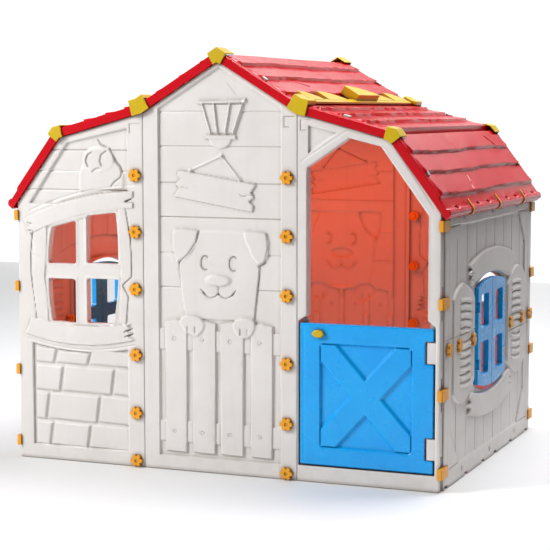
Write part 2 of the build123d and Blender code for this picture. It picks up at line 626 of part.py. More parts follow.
# ---------------------------------------------------------------- side walls
def side_window():
    """Barrel-shaped opening of a side window."""
    low, high = MID_Z - WINDOW_SIDE, MID_Z + WINDOW_SIDE
    return shape([(-WINDOW_HALF, low), (WINDOW_HALF, low), (WINDOW_HALF, high), (-WINDOW_HALF, high)],
                 [-WINDOW_BOW, 0, -WINDOW_BOW, 0])


def upper_outline():
    """Upper half of a side wall; its lower edge is stepped so that two of them fit together half-turned."""
    gap = SEAM_GAP
    high, low = MID_Z + SIDE_STEP + gap, MID_Z - SIDE_STEP + gap
    return shape([(-SIDE_HALF, high), (-100, high), (-100, low), (SIDE_HALF, low), (SIDE_HALF, SIDE_HEIGHT),
                  (-SIDE_HALF, SIDE_HEIGHT)])


def seam_tongue():
    """Tongue behind the other half's stepped edge, along the front part of the seam."""
    low = MID_Z - SIDE_STEP
    top = MID_Z + SIDE_STEP + 8
    blade = block(rect(-SIDE_HALF + 6, low, -WINDOW_HALF - 5, top), side_plane,
                  -FRAME - LAP_GAP - TONGUE, -FRAME - LAP_GAP)
    foot = block(rect(-SIDE_HALF + 6, MID_Z + SIDE_STEP + 1, -WINDOW_HALF - 5, top), side_plane,
                 -FRAME - LAP_GAP - TONGUE, -FRAME + 1)
    return blade + foot


def side_half(plank):
    """Upper half of the right wall: arched plank, two louvred shutters, boards and corner braces."""
    window = side_window()
    outline = upper_outline()
    field = outline & (rect(-397, 51, 397, SIDE_HEIGHT - 50) - side_shutters())
    solids = [block(outline, side_plane, -FRAME, 0) - block(field, side_plane, -4.0, 5)
              - block(offset(rect(-397, MID_Z + 40, 397, SIDE_HEIGHT - 50), -6), side_plane, -WALL, -8.0)]
    flange_zone = outline - rect(-SIDE_HALF - 5, 0, SIDE_HALF - FLANGE, MID_Z + 60)
    solids.append(block(ring(outline, FLANGE) & flange_zone, side_plane, -SIDE_THICK, -FRAME))
    solids.append(block(ring(window, 4.0, inward=False) & outline, side_plane, -SIDE_THICK + 1, -FRAME))
    solids.append(seam_tongue())
    solids.append(block(shape(*plank), side_plane, -5, 4))
    for side in (-1, 1):
        solids.append(block(bar((side * 312, SIDE_HEIGHT - 46), (side * 400, SIDE_HEIGHT - 128), 12),
                            side_plane, -5, -0.5))
        for count in range(LOUVRES):
            z = MID_Z + 14 + LOUVRE_PITCH * (count + 0.5)
            left, right = sorted((side * 226, side * 328))
            solids.append(block(rect(left, z - 7, right, z + 7) & outline, side_plane, -1, 3.5))
    for y in HOOKS_Y:
        solids.append(block(rect(y - 12, SIDE_HEIGHT - 42, y + 12, SIDE_HEIGHT - 24), side_plane, -1, 6, taper=12))
    half = joined(solids) - block(window, side_plane, -WALL, 12)
    for y in BOARD_GROOVES:
        half -= block(rect(y - 2, MID_Z + 215, y + 2, SIDE_HEIGHT - 50), side_plane, -6, -4)
    for y in NOTCHES:
        half -= block(rect(y - 20, SIDE_HEIGHT - 9, y + 20, SIDE_HEIGHT + 5), side_plane, -WALL, 5)
    half += leaf_knuckles(1) + leaf_knuckles(-1)
    for y in (-LEAF_AXIS_Y, LEAF_AXIS_Y):
        half -= Pos(LEAF_AXIS_X, y, MID_Z) * Cylinder(LEAF_PIN + PIN_FIT, 4 * abs(LEAF_KNUCKLES[0]))
    for y in SEAM_SNAPS:
        for side in (-1, 1):
            half -= block(disc(side * y, MID_Z, 5.5), side_plane, -WALL, 12)
    return half


def leaf_knuckles(side):
    """Hinge knuckle that stands in the window opening from its side edge."""
    y = side * LEAF_AXIS_Y
    z = MID_Z + LEAF_KNUCKLES[1]
    barrel = Pos(LEAF_AXIS_X, y, z) * Cylinder(LEAF_THICK / 2 - 0.8, LEAF_KNUCKLE_TALL)
    reach = WINDOW_HALF + 2 - LEAF_AXIS_Y
    web = Pos(LEAF_AXIS_X, y + side * reach / 2, z) * Box(LEAF_THICK - 4, reach, LEAF_KNUCKLE_TALL)
    return barrel + web


def side_shutters():
    """Outlines of the two shutters beside a side window."""
    faces = []
    for side in (-1, 1):
        inner, outer = side * 184, side * 396
        faces.append(shape([(outer, MID_Z - 165), (inner, MID_Z - 122), (inner, MID_Z + 122), (outer, MID_Z + 165)],
                           [side * 12, 0, side * 12, 0]))
    return faces[0] + faces[1]


def side_snap(y):
    """Flower-headed snap bolt through the seam of a side wall."""
    bolt = block(flower(y, MID_Z), side_plane, 4.0, 11.0, taper=8)
    return bolt + block(disc(y, MID_Z, 5), side_plane, -SIDE_THICK, 5)


def side_nut(y):
    nut = disc(y, MID_Z, 12) - disc(y, MID_Z, 5.1)
    depth = -FRAME - LAP_GAP - TONGUE
    return block(nut, side_plane, depth - 7, depth - 0.4)


def window_leaf(side):
    """Casement leaf with two panes; its hinge edge is rounded about the pin."""
    half = LEAF_THICK / 2
    hinge, meet = side * LEAF_AXIS_Y, side * 1.5
    outline = shape([(hinge, MID_Z - LEAF_SIDE), (meet, MID_Z - LEAF_MIDDLE), (meet, MID_Z + LEAF_MIDDLE),
                     (hinge, MID_Z + LEAF_SIDE)], [side * 5, 0, side * 5, 0])
    low = LEAF_AXIS_X - SIDE_X - half
    leaf = block(outline, side_plane, low, low + LEAF_THICK)
    leaf += Pos(LEAF_AXIS_X, hinge, MID_Z) * Cylinder(half, 2 * LEAF_SIDE)
    pane_outer, pane_inner = side * 118, side * 38
    for low_z, high_z in ((-116, -20), (20, 116)):
        pane = rect(min(pane_outer, pane_inner), MID_Z + low_z, max(pane_outer, pane_inner), MID_Z + high_z)
        leaf -= block(fillet(pane.vertices(), 8), side_plane, -WALL, 12)
    for offset_z in LEAF_KNUCKLES:
        z = MID_Z + offset_z
        tall = LEAF_KNUCKLE_TALL + 2 * KNUCKLE_GAP
        leaf -= Pos(LEAF_AXIS_X, hinge, z) * Box(LEAF_THICK + 2, 2 * (half + 3), tall)
        leaf -= Pos(LEAF_AXIS_X, hinge, z) * Cylinder(LEAF_PIN + PIN_FIT, tall + 2 * LEAF_PIN_REACH + 2)
    return leaf


def leaf_pins():
    length = LEAF_KNUCKLE_TALL + 2 * KNUCKLE_GAP + 2 * LEAF_PIN_REACH
    return [Pos(LEAF_AXIS_X, y, MID_Z + z) * Cylinder(LEAF_PIN, length)
            for y in (-LEAF_AXIS_Y, LEAF_AXIS_Y) for z in LEAF_KNUCKLES]


def eave_clips():
    """Three straps that wrap the eave's roll and hook under it onto the side wall."""
    centre = EAVE_CENTRE
    clips = []
    away = [centre] + [(centre[0] + 60 * math.cos(turn), centre[1] + 60 * math.sin(turn))
                       for turn in (math.radians(degrees) for degrees in (55, 100, 145, 190, 235))]
    tail = [on_slope(0, EAVE_RUN + 2, ROOF_THICK + 0.6), on_slope(0, EAVE_RUN + 2, ROOF_THICK + 4.4),
            on_slope(0, CLIP_TAIL, ROOF_THICK + 4.4), on_slope(0, CLIP_TAIL, ROOF_THICK + 1.4)]
    for y in HOOKS_Y:
        band = Pos(centre[0], y, centre[1]) * Rot(90, 0, 0) * (
            Cylinder(EAVE_BEAD + 4.5, CLIP_BAND) - Cylinder(EAVE_BEAD + 0.5, CLIP_BAND + 2))
        band -= xz_prism(away, y - CLIP_BAND, y + CLIP_BAND)
        clips.append(band + xz_prism(tail, y - CLIP_BAND / 2, y + CLIP_BAND / 2))
    return clips


# ---------------------------------------------------------------- build and write
WHITE, RED, BLUE, YELLOW, ORANGE = "gainsboro", "red", "deepskyblue", "gold", "orange"
CLAMP = FRAME + LAP_GAP + TONGUE       # depth of a snap strip and the tongue behind it


def save_both_ends(name, node, solids, colour):
    """Write a front group and the same group half-turned to the rear."""
    save(f"{node}_front_{name}", solids, colour)
    other = "left" if name == "right" else "right"
    save(f"{node}_rear_{other}", [half_turn(solid) for solid in solids], colour)


window_panel = window_wall()
middle_panel = middle_wall()
save("front_window_wall", window_panel, WHITE)
save("front_middle_wall", middle_panel, WHITE)
save("front_door_wall", door_wall(), WHITE)
save("rear_window_wall", half_turn(window_panel), WHITE)
save("rear_middle_wall", half_turn(middle_panel), WHITE)
save("rear_mirrored_wall", half_turn(mirror(window_wall(strip=False), about=Plane.YZ)), WHITE)

upper_half = side_half(ARCH_PLANK)
lower_half = Pos(0, 0, SIDE_HEIGHT) * Rot(180, 0, 0) * side_half(flipped(*ARCH_PLANK))
save("right_wall_upper", upper_half, WHITE)
save("right_wall_lower", lower_half, WHITE)
save("left_wall_upper", half_turn(upper_half), WHITE)
save("left_wall_lower", half_turn(lower_half), WHITE)

for index, name in enumerate(("lower", "middle", "upper")):
    panel = roof_panel(index)
    save(f"roof_{name}_right", panel, RED)
    save(f"roof_{name}_left", half_turn(panel), RED)
trim = valley_trim()
save("valley_trim_right", trim, YELLOW)
save("valley_trim_left", half_turn(trim), YELLOW)
ridge_cap = roof_cap(3, *CAP_SIZES["ridge"])
save("ridge_cap_front", ridge_cap, YELLOW)
save("ridge_cap_rear", half_turn(ridge_cap), YELLOW)
for breaks, name in ((2, "valley"), (1, "knee")):
    cap = roof_cap(breaks, *CAP_SIZES[name])
    save_both_ends("right", f"{name}_cap", [cap], YELLOW)
    save_both_ends("left", f"{name}_cap", [mirror(cap, about=Plane.YZ)], YELLOW)

for name, x in (("left", -SNAP_X), ("right", SNAP_X_MID)):
    save_both_ends(name, "seam_snaps", [snap(x, z, CLAMP) for z in SNAP_HEIGHTS], ORANGE)
    save_both_ends(name, "seam_nuts", [snap_nut(x, z, CLAMP) for z in SNAP_HEIGHTS], ORANGE)
for name, side in (("left", -1), ("right", 1)):
    save_both_ends(name, "corner_clips", corner_clips(side), ORANGE)
seam_y = [side * y for y in SEAM_SNAPS for side in (-1, 1)]
for node, make in (("seam_snaps", side_snap), ("seam_nuts", side_nut)):
    group = [make(y) for y in seam_y]
    save(f"{node}_side_right", group, ORANGE)
    save(f"{node}_side_left", [half_turn(piece) for piece in group], ORANGE)
clips = eave_clips()
save("eave_clips_right", clips, ORANGE)
save("eave_clips_left", [half_turn(clip) for clip in clips], ORANGE)

save("half_door", half_door(), BLUE)
save("door_knob", door_knob(), YELLOW)
save("door_hinge_pins", door_pins(), WHITE)
for name, side in (("front", -1), ("rear", 1)):
    leaf = window_leaf(side)
    other = "rear" if name == "front" else "front"
    save(f"right_window_leaf_{name}", leaf, BLUE)
    save(f"left_window_leaf_{other}", half_turn(leaf), BLUE)
pins = leaf_pins()
save("right_window_pins", pins, BLUE)
save("left_window_pins", [half_turn(pin) for pin in pins], BLUE)
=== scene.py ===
import bmesh
import bpy
import json
import math
import numpy as np
from mathutils import Matrix, Vector

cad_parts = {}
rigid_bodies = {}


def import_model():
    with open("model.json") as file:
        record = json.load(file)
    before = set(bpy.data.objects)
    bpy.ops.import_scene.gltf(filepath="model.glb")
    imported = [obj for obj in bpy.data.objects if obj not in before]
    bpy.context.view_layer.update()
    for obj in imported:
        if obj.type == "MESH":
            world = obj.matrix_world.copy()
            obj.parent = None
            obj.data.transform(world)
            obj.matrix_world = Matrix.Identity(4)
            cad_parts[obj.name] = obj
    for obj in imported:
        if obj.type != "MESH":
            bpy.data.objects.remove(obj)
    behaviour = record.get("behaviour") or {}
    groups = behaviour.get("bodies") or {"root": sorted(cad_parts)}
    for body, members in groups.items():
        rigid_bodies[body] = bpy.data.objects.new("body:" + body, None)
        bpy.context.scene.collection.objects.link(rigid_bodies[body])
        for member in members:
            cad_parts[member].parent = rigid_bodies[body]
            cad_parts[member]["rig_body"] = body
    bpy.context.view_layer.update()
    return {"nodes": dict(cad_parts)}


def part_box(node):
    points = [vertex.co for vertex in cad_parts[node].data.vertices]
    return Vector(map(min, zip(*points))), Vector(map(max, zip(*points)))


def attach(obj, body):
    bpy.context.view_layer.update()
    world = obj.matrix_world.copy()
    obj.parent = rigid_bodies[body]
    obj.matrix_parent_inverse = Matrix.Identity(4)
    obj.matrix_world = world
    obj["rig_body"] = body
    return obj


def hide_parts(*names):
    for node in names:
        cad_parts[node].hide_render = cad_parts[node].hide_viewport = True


# The looks of a snap-together plastic playhouse: thin moulded sheets with relief on both faces.
# Drawing sizes are in millimetres in each sheet's own plane; heights are out of the sheet.
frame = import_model()
MM = 0.001
STEP = 2.6                    # spacing of a sheet's sample grid
SKIN = 4.0                    # thickness of the moulded sheet
RIB = 5.0                     # thickness of the flange behind a sheet's edges
ROUND = 2.6                   # radius of a sheet's outer edges
DEEPER = 1.6                  # factor on the drawn depth of lines and spots
FLANGE_DEPTH = 30.0           # depth of the flange behind the edges of a wall
PLANK_PROUD = 4.0             # how far the planks stand in front of the front wall's face
KNUCKLE_PROUD = 6.0           # how far the window hinges' knuckles stand outside a side wall's face
FACE_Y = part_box("front_window_wall")[0].y / MM + PLANK_PROUD
SIDE_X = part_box("right_wall_upper")[1].x / MM - KNUCKLE_PROUD
HALF_WIDTH = -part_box("front_window_wall")[0].x / MM
SEAM = -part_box("front_window_wall")[1].x / MM


# ---------------------------------------------------------------- drawing on a grid
def bowed(points, bows=None):
    """Corner points of an outline whose edges may bow to their left."""
    out = []
    for k, (a, b) in enumerate(zip(points, list(points[1:]) + [points[0]])):
        out.append(a)
        rise = bows[k] if bows else 0
        if rise:
            length = math.dist(a, b)
            count = max(4, int(length / 9))
            for i in range(1, count):
                t = i / count
                lift = 4 * rise * t * (1 - t) / length
                out.append((a[0] + (b[0] - a[0]) * t - (b[1] - a[1]) * lift,
                            a[1] + (b[1] - a[1]) * t + (b[0] - a[0]) * lift))
    return out


def along(points, x, y):
    """Distance from each grid point to a chain of points."""
    best = np.full(x.shape, 1e12)
    for (ax, ay), (bx, by) in zip(points, points[1:]):
        ex, ey = bx - ax, by - ay
        t = np.clip(((x - ax) * ex + (y - ay) * ey) / max(ex * ex + ey * ey, 1e-9), 0, 1)
        best = np.minimum(best, (x - ax - ex * t) ** 2 + (y - ay - ey * t) ** 2)
    return np.sqrt(best)


def inside(points, x, y):
    """Signed distance to an outline, below zero inside it."""
    loop = list(points) + [points[0]]
    odd = np.zeros(x.shape, bool)
    for (ax, ay), (bx, by) in zip(loop, loop[1:]):
        if ay != by:
            odd ^= ((ay > y) != (by > y)) & (x < (bx - ax) * (y - ay) / (by - ay) + ax)
    far = along(loop, x, y)
    return np.where(odd, -far, far)


def soften(t):
    """Smooth step from 0 to 1."""
    t = np.clip(t, 0, 1)
    return t * t * (3 - 2 * t)


class Sheet:
    """A moulded sheet drawn as heights on a grid, trimmed to an outline and its openings."""

    def __init__(self, outline, openings=(), step=STEP):
        low = np.min(outline, axis=0) - 4 * step
        high = np.max(outline, axis=0) + 4 * step
        self.step = step
        self.x, self.y = np.meshgrid(np.arange(low[0], high[0], step), np.arange(low[1], high[1], step))
        self.trim = inside(outline, self.x, self.y)
        for hole in openings:
            self.trim = np.maximum(self.trim, -inside(hole, self.x, self.y))
        self.h = np.zeros(self.x.shape)
        self.back = np.full(self.x.shape, FLANGE_DEPTH)

    def near(self, points, margin):
        """Slice of the grid that holds the points, with a margin round them."""
        low = (np.min(points, axis=0) - margin - [self.x[0, 0], self.y[0, 0]]) / self.step
        high = (np.max(points, axis=0) + margin - [self.x[0, 0], self.y[0, 0]]) / self.step
        low = np.maximum(np.floor(low).astype(int), 0)
        high = np.maximum(np.ceil(high).astype(int) + 1, 0)
        return np.s_[low[1]:high[1], low[0]:high[0]]

    def area(self, points, height, bows=None, soft=4.0, add=False):
        """Bring the area inside an outline to a height, or add to it, over a soft edge."""
        loop = bowed(points, bows)
        s = self.near(loop, soft + 6)
        share = soften(0.5 - inside(loop, self.x[s], self.y[s]) / soft)
        target = self.h[s] + height if add else height
        self.h[s] = self.h[s] * (1 - share) + target * share

    def line(self, points, height, width=4.0, bows=None):
        """Raise or cut a rounded line."""
        chain = bowed(points, list(bows) + [0]) if bows else points
        s = self.near(chain, width + 6)
        self.h[s] += DEEPER * height * soften(1 - along(chain, self.x[s], self.y[s]) / width)

    def spot(self, centre, radii, height, soft=3.0, turn=0.0):
        """Raise or sink an oval."""
        s = self.near([centre], max(radii) + soft + 6)
        dx, dy = self.x[s] - centre[0], self.y[s] - centre[1]
        c, d = math.cos(math.radians(turn)), math.sin(math.radians(turn))
        u, v = (dx * c + dy * d) / radii[0], (dy * c - dx * d) / radii[1]
        self.h[s] += height * soften(0.5 - (np.hypot(u, v) - 1) * min(radii) / soft)


def trace(mask, nodes, across, up):
    """Polygons of the cells of a masked grid, and the directed pieces of its border."""
    polygons, border = [], []
    b0, b1, b2, b3 = mask[:-1, :-1], mask[:-1, 1:], mask[1:, 1:], mask[1:, :-1]
    code = b0 * 1 + b1 * 2 + b2 * 4 + b3 * 8
    corner = [nodes[:-1, :-1], nodes[:-1, 1:], nodes[1:, 1:], nodes[1:, :-1]]
    middle = [across[:-1, :], up[:, 1:], across[1:, :], up[:, :-1]]
    for case in range(1, 16):
        rows, cols = np.nonzero(code == case)
        if not len(rows):
            continue
        if case in (5, 10):
            first = 0 if case == 5 else 1
            rings = [[("c", k), ("m", k), ("m", (k + 3) % 4)] for k in (first, first + 2)]
        else:
            ring = []
            for k in range(4):
                here, after = case >> k & 1, case >> (k + 1) % 4 & 1
                ring += [("c", k)] if here else []
                ring += [("m", k)] if here != after else []
            rings = [ring]
        for ring in rings:
            ids = np.stack([(corner if kind == "c" else middle)[k][rows, cols] for kind, k in ring], 1)
            polygons.append(ids)
            for i, (kind, _) in enumerate(ring):
                if kind == "m" and ring[(i + 1) % len(ring)][0] == "m":
                    border.append(ids[:, [i, (i + 1) % len(ring)]])
    return polygons, (np.concatenate(border) if border else np.zeros((0, 2), int))


def between(values, level, axis):
    """Share of the way along each grid edge at which the values cross the level."""
    a = values[:, :-1] if axis else values[:-1]
    b = values[:, 1:] if axis else values[1:]
    gap = np.where(a == b, 1.0, b - a)
    return np.clip((level - a) / gap, 0.02, 0.98)


def sheet_mesh(name, sheet, place):
    """Closed mesh of a sheet: outer face, edge, flange, and the inner face one skin behind."""
    trim, h = sheet.trim, sheet.h.copy()
    h -= ROUND - np.sqrt(ROUND ** 2 - np.clip(ROUND + trim, 0, ROUND) ** 2)
    count = 0
    points, polygons = [], []

    def layer(mask, levels, depth):
        """Vertices of one layer; each crossing belongs to the level it lies on."""
        nonlocal count
        ids = []
        for axis in (None, 1, 0):
            if axis is None:
                used, px, py, pz = mask, sheet.x, sheet.y, depth
            else:
                m0, m1 = (mask[:, :-1], mask[:, 1:]) if axis else (mask[:-1], mask[1:])
                used = m0 != m1
                t0, t1 = (trim[:, :-1], trim[:, 1:]) if axis else (trim[:-1], trim[1:])
                t = between(trim, levels[0], axis)
                for level in levels[1:]:
                    t = np.where((t0 < level) != (t1 < level), between(trim, level, axis), t)

                def mix(v):
                    a, b = (v[:, :-1], v[:, 1:]) if axis else (v[:-1], v[1:])
                    return a + (b - a) * t
                px, py, pz = mix(sheet.x), mix(sheet.y), mix(depth)
            number = np.full(used.shape, -1)
            total = int(used.sum())
            number[used] = np.arange(count, count + total)
            count += total
            points.append(np.stack([px[used], py[used], pz[used]], 1))
            ids.append(number)
        return ids

    outer = trim < 0
    inner = trim < -RIB
    ring = outer & ~inner
    top = layer(outer, [0.0], h)
    low = layer(inner, [-RIB], sheet.h - SKIN)
    cap = layer(ring, [0.0, -RIB], -sheet.back)

    top_faces, top_border = trace(outer, *top)
    low_faces, low_border = trace(inner, *low)
    cap_faces, _ = trace(ring, *cap)
    polygons += [p for p in top_faces]
    polygons += [p[:, ::-1] for p in low_faces]
    polygons += [p[:, ::-1] for p in cap_faces]
    for source, border, flip in ((top, top_border, False), (low, low_border, True)):
        match = np.full(count, -1)
        for a, b in zip(source[1:], cap[1:]):
            both = (a >= 0) & (b >= 0)
            match[a[both]] = b[both]
        a, b = border[:, 0], border[:, 1]
        wall = np.stack([b, a, match[a], match[b]], 1)
        polygons.append(wall[:, ::-1] if flip else wall)

    spots = np.concatenate(points)
    spots = place(spots[:, 0], spots[:, 1], spots[:, 2]) * MM
    mesh = bpy.data.meshes.new(name)
    loops = np.concatenate([p.ravel() for p in polygons])
    sizes = np.concatenate([np.full(len(p), p.shape[1]) for p in polygons])
    mesh.vertices.add(len(spots))
    mesh.vertices.foreach_set("co", spots.ravel())
    mesh.loops.add(len(loops))
    mesh.loops.foreach_set("vertex_index", loops)
    mesh.polygons.add(len(sizes))
    mesh.polygons.foreach_set("loop_start", np.concatenate([[0], np.cumsum(sizes)[:-1]]))
    mesh.update(calc_edges=True)
    mesh.validate()
    return mesh


def new_object(name, mesh):
    obj = bpy.data.objects.new(name, mesh)
    bpy.context.scene.collection.objects.link(obj)
    return obj


def bake_modifiers(obj):
    """Put an object's modifiers into its mesh."""
    bpy.context.view_layer.update()
    made = bpy.data.meshes.new_from_object(obj.evaluated_get(bpy.context.evaluated_depsgraph_get()))
    made.name = obj.data.name
    obj.modifiers.clear()
    obj.data = made


def finish_sheet(obj, keep):
    """Thin out the flat parts of a sheet's mesh and even its shading."""
    thin = obj.modifiers.new("thin", "DECIMATE")
    thin.ratio = keep
    bake_modifiers(obj)
    obj.data.shade_smooth()
    obj.data.set_sharp_from_angle(angle=math.radians(38))
    even = obj.modifiers.new("even", "WEIGHTED_NORMAL")
    even.keep_sharp = True
    even.weight = 75
    bake_modifiers(obj)


def stand_for(obj, body, slot, *nodes):
    """Let a piece ride on a body, in a slot's material, in place of the CAD nodes it shows."""
    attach(obj, body)
    obj.data.materials.clear()
    obj.data.materials.append(MATERIALS[slot])
    for node in nodes:
        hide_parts(node)
    return obj


def turned(obj, name, matrix):
    """A copy of a piece, moved by a matrix, with its faces outward."""
    mesh = obj.data.copy()
    mesh.name = name
    mesh.transform(matrix)
    if matrix.determinant() < 0:
        mesh.flip_normals()
    return new_object(name, mesh)


BOX_FACES = [(0, 2, 3, 1), (4, 5, 7, 6), (0, 1, 5, 4), (2, 6, 7, 3), (0, 4, 6, 2), (1, 3, 7, 5)]


def blocks(name, boxes, place, radius):
    """Rounded blocks in a sheet's own frame, each (u0, u1, v0, v1, w0, w1)."""
    points, faces = [], []
    for u0, u1, v0, v1, w0, w1 in boxes:
        start = len(points)
        points += [(u, v, w) for w in (w0, w1) for v in (v0, v1) for u in (u0, u1)]
        faces += [tuple(start + corner for corner in face) for face in BOX_FACES]
    spots = np.array(points, float)
    mesh = bpy.data.meshes.new(name)
    mesh.from_pydata((place(spots[:, 0], spots[:, 1], spots[:, 2]) * MM).tolist(), [], faces)
    obj = new_object(name, mesh)
    soften_edges(obj, radius)
    return obj


def carve(obj, boxes):
    """Cut slots, each given by its lower and upper corner in millimetres, through a piece."""
    for low, high in boxes:
        spots = [tuple((low, high)[k >> axis & 1][axis] * MM for axis in range(3)) for k in range(8)]
        mesh = bpy.data.meshes.new("cutter")
        mesh.from_pydata(spots, [], BOX_FACES)
        cutter = new_object("cutter", mesh)
        cut = obj.modifiers.new("slot", "BOOLEAN")
        cut.operation = "DIFFERENCE"
        cut.solver = "EXACT"
        cut.object = cutter
        bake_modifiers(obj)
        bpy.data.objects.remove(cutter)
        bpy.data.meshes.remove(mesh)


def soften_edges(obj, radius):
    """Round the edges of a piece."""
    bevel = obj.modifiers.new("soft", "BEVEL")
    bevel.width = radius * MM
    bevel.segments = 3
    bevel.limit_method = "ANGLE"
    bevel.angle_limit = math.radians(32)
    bake_modifiers(obj)
    obj.data.shade_smooth()
    obj.data.set_sharp_from_angle(angle=math.radians(50))
    even = obj.modifiers.new("even", "WEIGHTED_NORMAL")
    even.keep_sharp = True
    bake_modifiers(obj)


def softened(node, body, slot, radius):
    """A copy of a CAD piece with moulded, rounded edges, which stands for it."""
    mesh = frame["nodes"][node].data.copy()
    obj = new_object(node + "_moulding", mesh)
    mesh.name = obj.name
    shape = bmesh.new()
    shape.from_mesh(mesh)
    bmesh.ops.remove_doubles(shape, verts=shape.verts, dist=1e-5)
    bmesh.ops.dissolve_limit(shape, angle_limit=math.radians(1.0), verts=shape.verts, edges=shape.edges)
    shape.to_mesh(mesh)
    shape.free()
    if "custom_normal" in mesh.attributes:
        mesh.attributes.remove(mesh.attributes["custom_normal"])
    soften_edges(obj, radius)
    return stand_for(obj, body, slot, node)


HALF_TURN = Matrix.Rotation(math.pi, 4, "Z")
MIRROR_X = Matrix.Scale(-1, 4, (1, 0, 0))
MIRROR_Y = Matrix.Scale(-1, 4, (0, 1, 0))


# ---------------------------------------------------------------- finishes
def link(tree, a, b):
    tree.links.new(a, b)


def plastic(name, colour, dark, light, rough, glow=0.0, wear=1.0, painted_groove_shade=0.95):
    """Moulded polyethylene: faint mottling, fine grain, scuffs, dust towards the ground, and painted shade in
    the grooves.

    glow is the share of light let through, and wear scales the scuffs. The last setting is the strength of
    the painted shade that darkens the grooves and recesses.
    """
    material = bpy.data.materials.new(name)
    material.use_nodes = True
    tree = material.node_tree
    shader = tree.nodes["Principled BSDF"]
    place = tree.nodes.new("ShaderNodeTexCoord").outputs["Object"]

    def noise(size, detail, roughness=0.5, warp=0.0):
        node = tree.nodes.new("ShaderNodeTexNoise")
        node.inputs["Scale"].default_value = size
        node.inputs["Detail"].default_value = detail
        node.inputs["Roughness"].default_value = roughness
        node.inputs["Distortion"].default_value = warp
        link(tree, place, node.inputs["Vector"])
        return node.outputs["Fac"]

    def spread(source, low, high, a, b):
        node = tree.nodes.new("ShaderNodeMapRange")
        node.inputs["From Min"].default_value = low
        node.inputs["From Max"].default_value = high
        node.inputs["To Min"].default_value = a
        node.inputs["To Max"].default_value = b
        link(tree, source, node.inputs["Value"])
        return node.outputs["Result"]

    def mix(share, a, b):
        node = tree.nodes.new("ShaderNodeMix")
        node.data_type = "RGBA"
        link(tree, share, node.inputs["Factor"])
        for value, socket in ((a, node.inputs["A"]), (b, node.inputs["B"])):
            if isinstance(value, tuple):
                socket.default_value = value + (1,)
            else:
                link(tree, value, socket)
        return node.outputs["Result"]

    mottle = spread(noise(7, 3, 0.55, 0.4), 0.35, 0.65, 0, 1)
    base = mix(mottle, colour, dark)
    speck = spread(noise(160, 2, 0.6), 0.62, 0.72, 0, 0.35 * wear)
    base = mix(speck, base, light)
    streak_map = tree.nodes.new("ShaderNodeMapping")
    streak_map.inputs["Scale"].default_value = (34, 34, 1.6)
    link(tree, place, streak_map.inputs["Vector"])
    streak = tree.nodes.new("ShaderNodeTexNoise")
    streak.inputs["Scale"].default_value = 1.0
    streak.inputs["Detail"].default_value = 4
    link(tree, streak_map.outputs["Vector"], streak.inputs["Vector"])
    dirt = spread(streak.outputs["Fac"], 0.56, 0.78, 0, 0.16 * wear)
    base = mix(dirt, base, tuple(c * 0.72 for c in dark))
    height = tree.nodes.new("ShaderNodeSeparateXYZ")
    link(tree, place, height.inputs["Vector"])
    low_down = spread(height.outputs["Z"], 0.0, 0.09, 0.14, 0.0)
    patch = spread(noise(26, 4, 0.6), 0.42, 0.7, 0, 1)
    ground = tree.nodes.new("ShaderNodeMath")
    ground.operation = "MULTIPLY"
    ground.use_clamp = True
    link(tree, low_down, ground.inputs[0])
    link(tree, patch, ground.inputs[1])
    base = mix(ground.outputs["Value"], base, (0.30, 0.25, 0.19))
    # Painted shade: ambient occlusion within 14 mm darkens grooves, recesses and corners towards a darker,
    # brownish tone of the plastic's own colour.
    corner = tree.nodes.new("ShaderNodeAmbientOcclusion")
    corner.samples = 8
    corner.inputs["Distance"].default_value = 0.014
    groove_shade_share = spread(corner.outputs["AO"], 0.4, 0.97, painted_groove_shade, 0.0)
    base = mix(groove_shade_share, base, tuple(c * share for c, share in zip(dark, (0.36, 0.31, 0.28))))
    link(tree, base, shader.inputs["Base Color"])

    scuff = spread(noise(90, 5, 0.7, 1.2), 0.55, 0.72, 0, 1)
    gloss = spread(noise(14, 3), 0.3, 0.7, rough - 0.04, rough + 0.04)
    gloss_add = tree.nodes.new("ShaderNodeMath")
    gloss_add.operation = "MULTIPLY_ADD"
    link(tree, scuff, gloss_add.inputs[0])
    gloss_add.inputs[1].default_value = 0.12 * wear
    link(tree, gloss, gloss_add.inputs[2])
    link(tree, gloss_add.outputs["Value"], shader.inputs["Roughness"])

    grain = tree.nodes.new("ShaderNodeBump")
    grain.inputs["Strength"].default_value = 0.16
    grain.inputs["Distance"].default_value = 0.0005
    link(tree, noise(900, 3, 0.6), grain.inputs["Height"])
    wave = tree.nodes.new("ShaderNodeBump")
    wave.inputs["Strength"].default_value = 0.35
    wave.inputs["Distance"].default_value = 0.004
    link(tree, noise(9, 2, 0.4), wave.inputs["Height"])
    link(tree, grain.outputs["Normal"], wave.inputs["Normal"])
    link(tree, wave.outputs["Normal"], shader.inputs["Normal"])
    shader.inputs["IOR"].default_value = 1.5
    if glow:
        thin = tree.nodes.new("ShaderNodeBsdfTranslucent")
        link(tree, base, thin.inputs["Color"])
        link(tree, wave.outputs["Normal"], thin.inputs["Normal"])
        both = tree.nodes.new("ShaderNodeMixShader")
        both.inputs["Fac"].default_value = glow
        link(tree, shader.outputs["BSDF"], both.inputs[1])
        link(tree, thin.outputs["BSDF"], both.inputs[2])
        link(tree, both.outputs["Shader"], tree.nodes["Material Output"].inputs["Surface"])
    return material


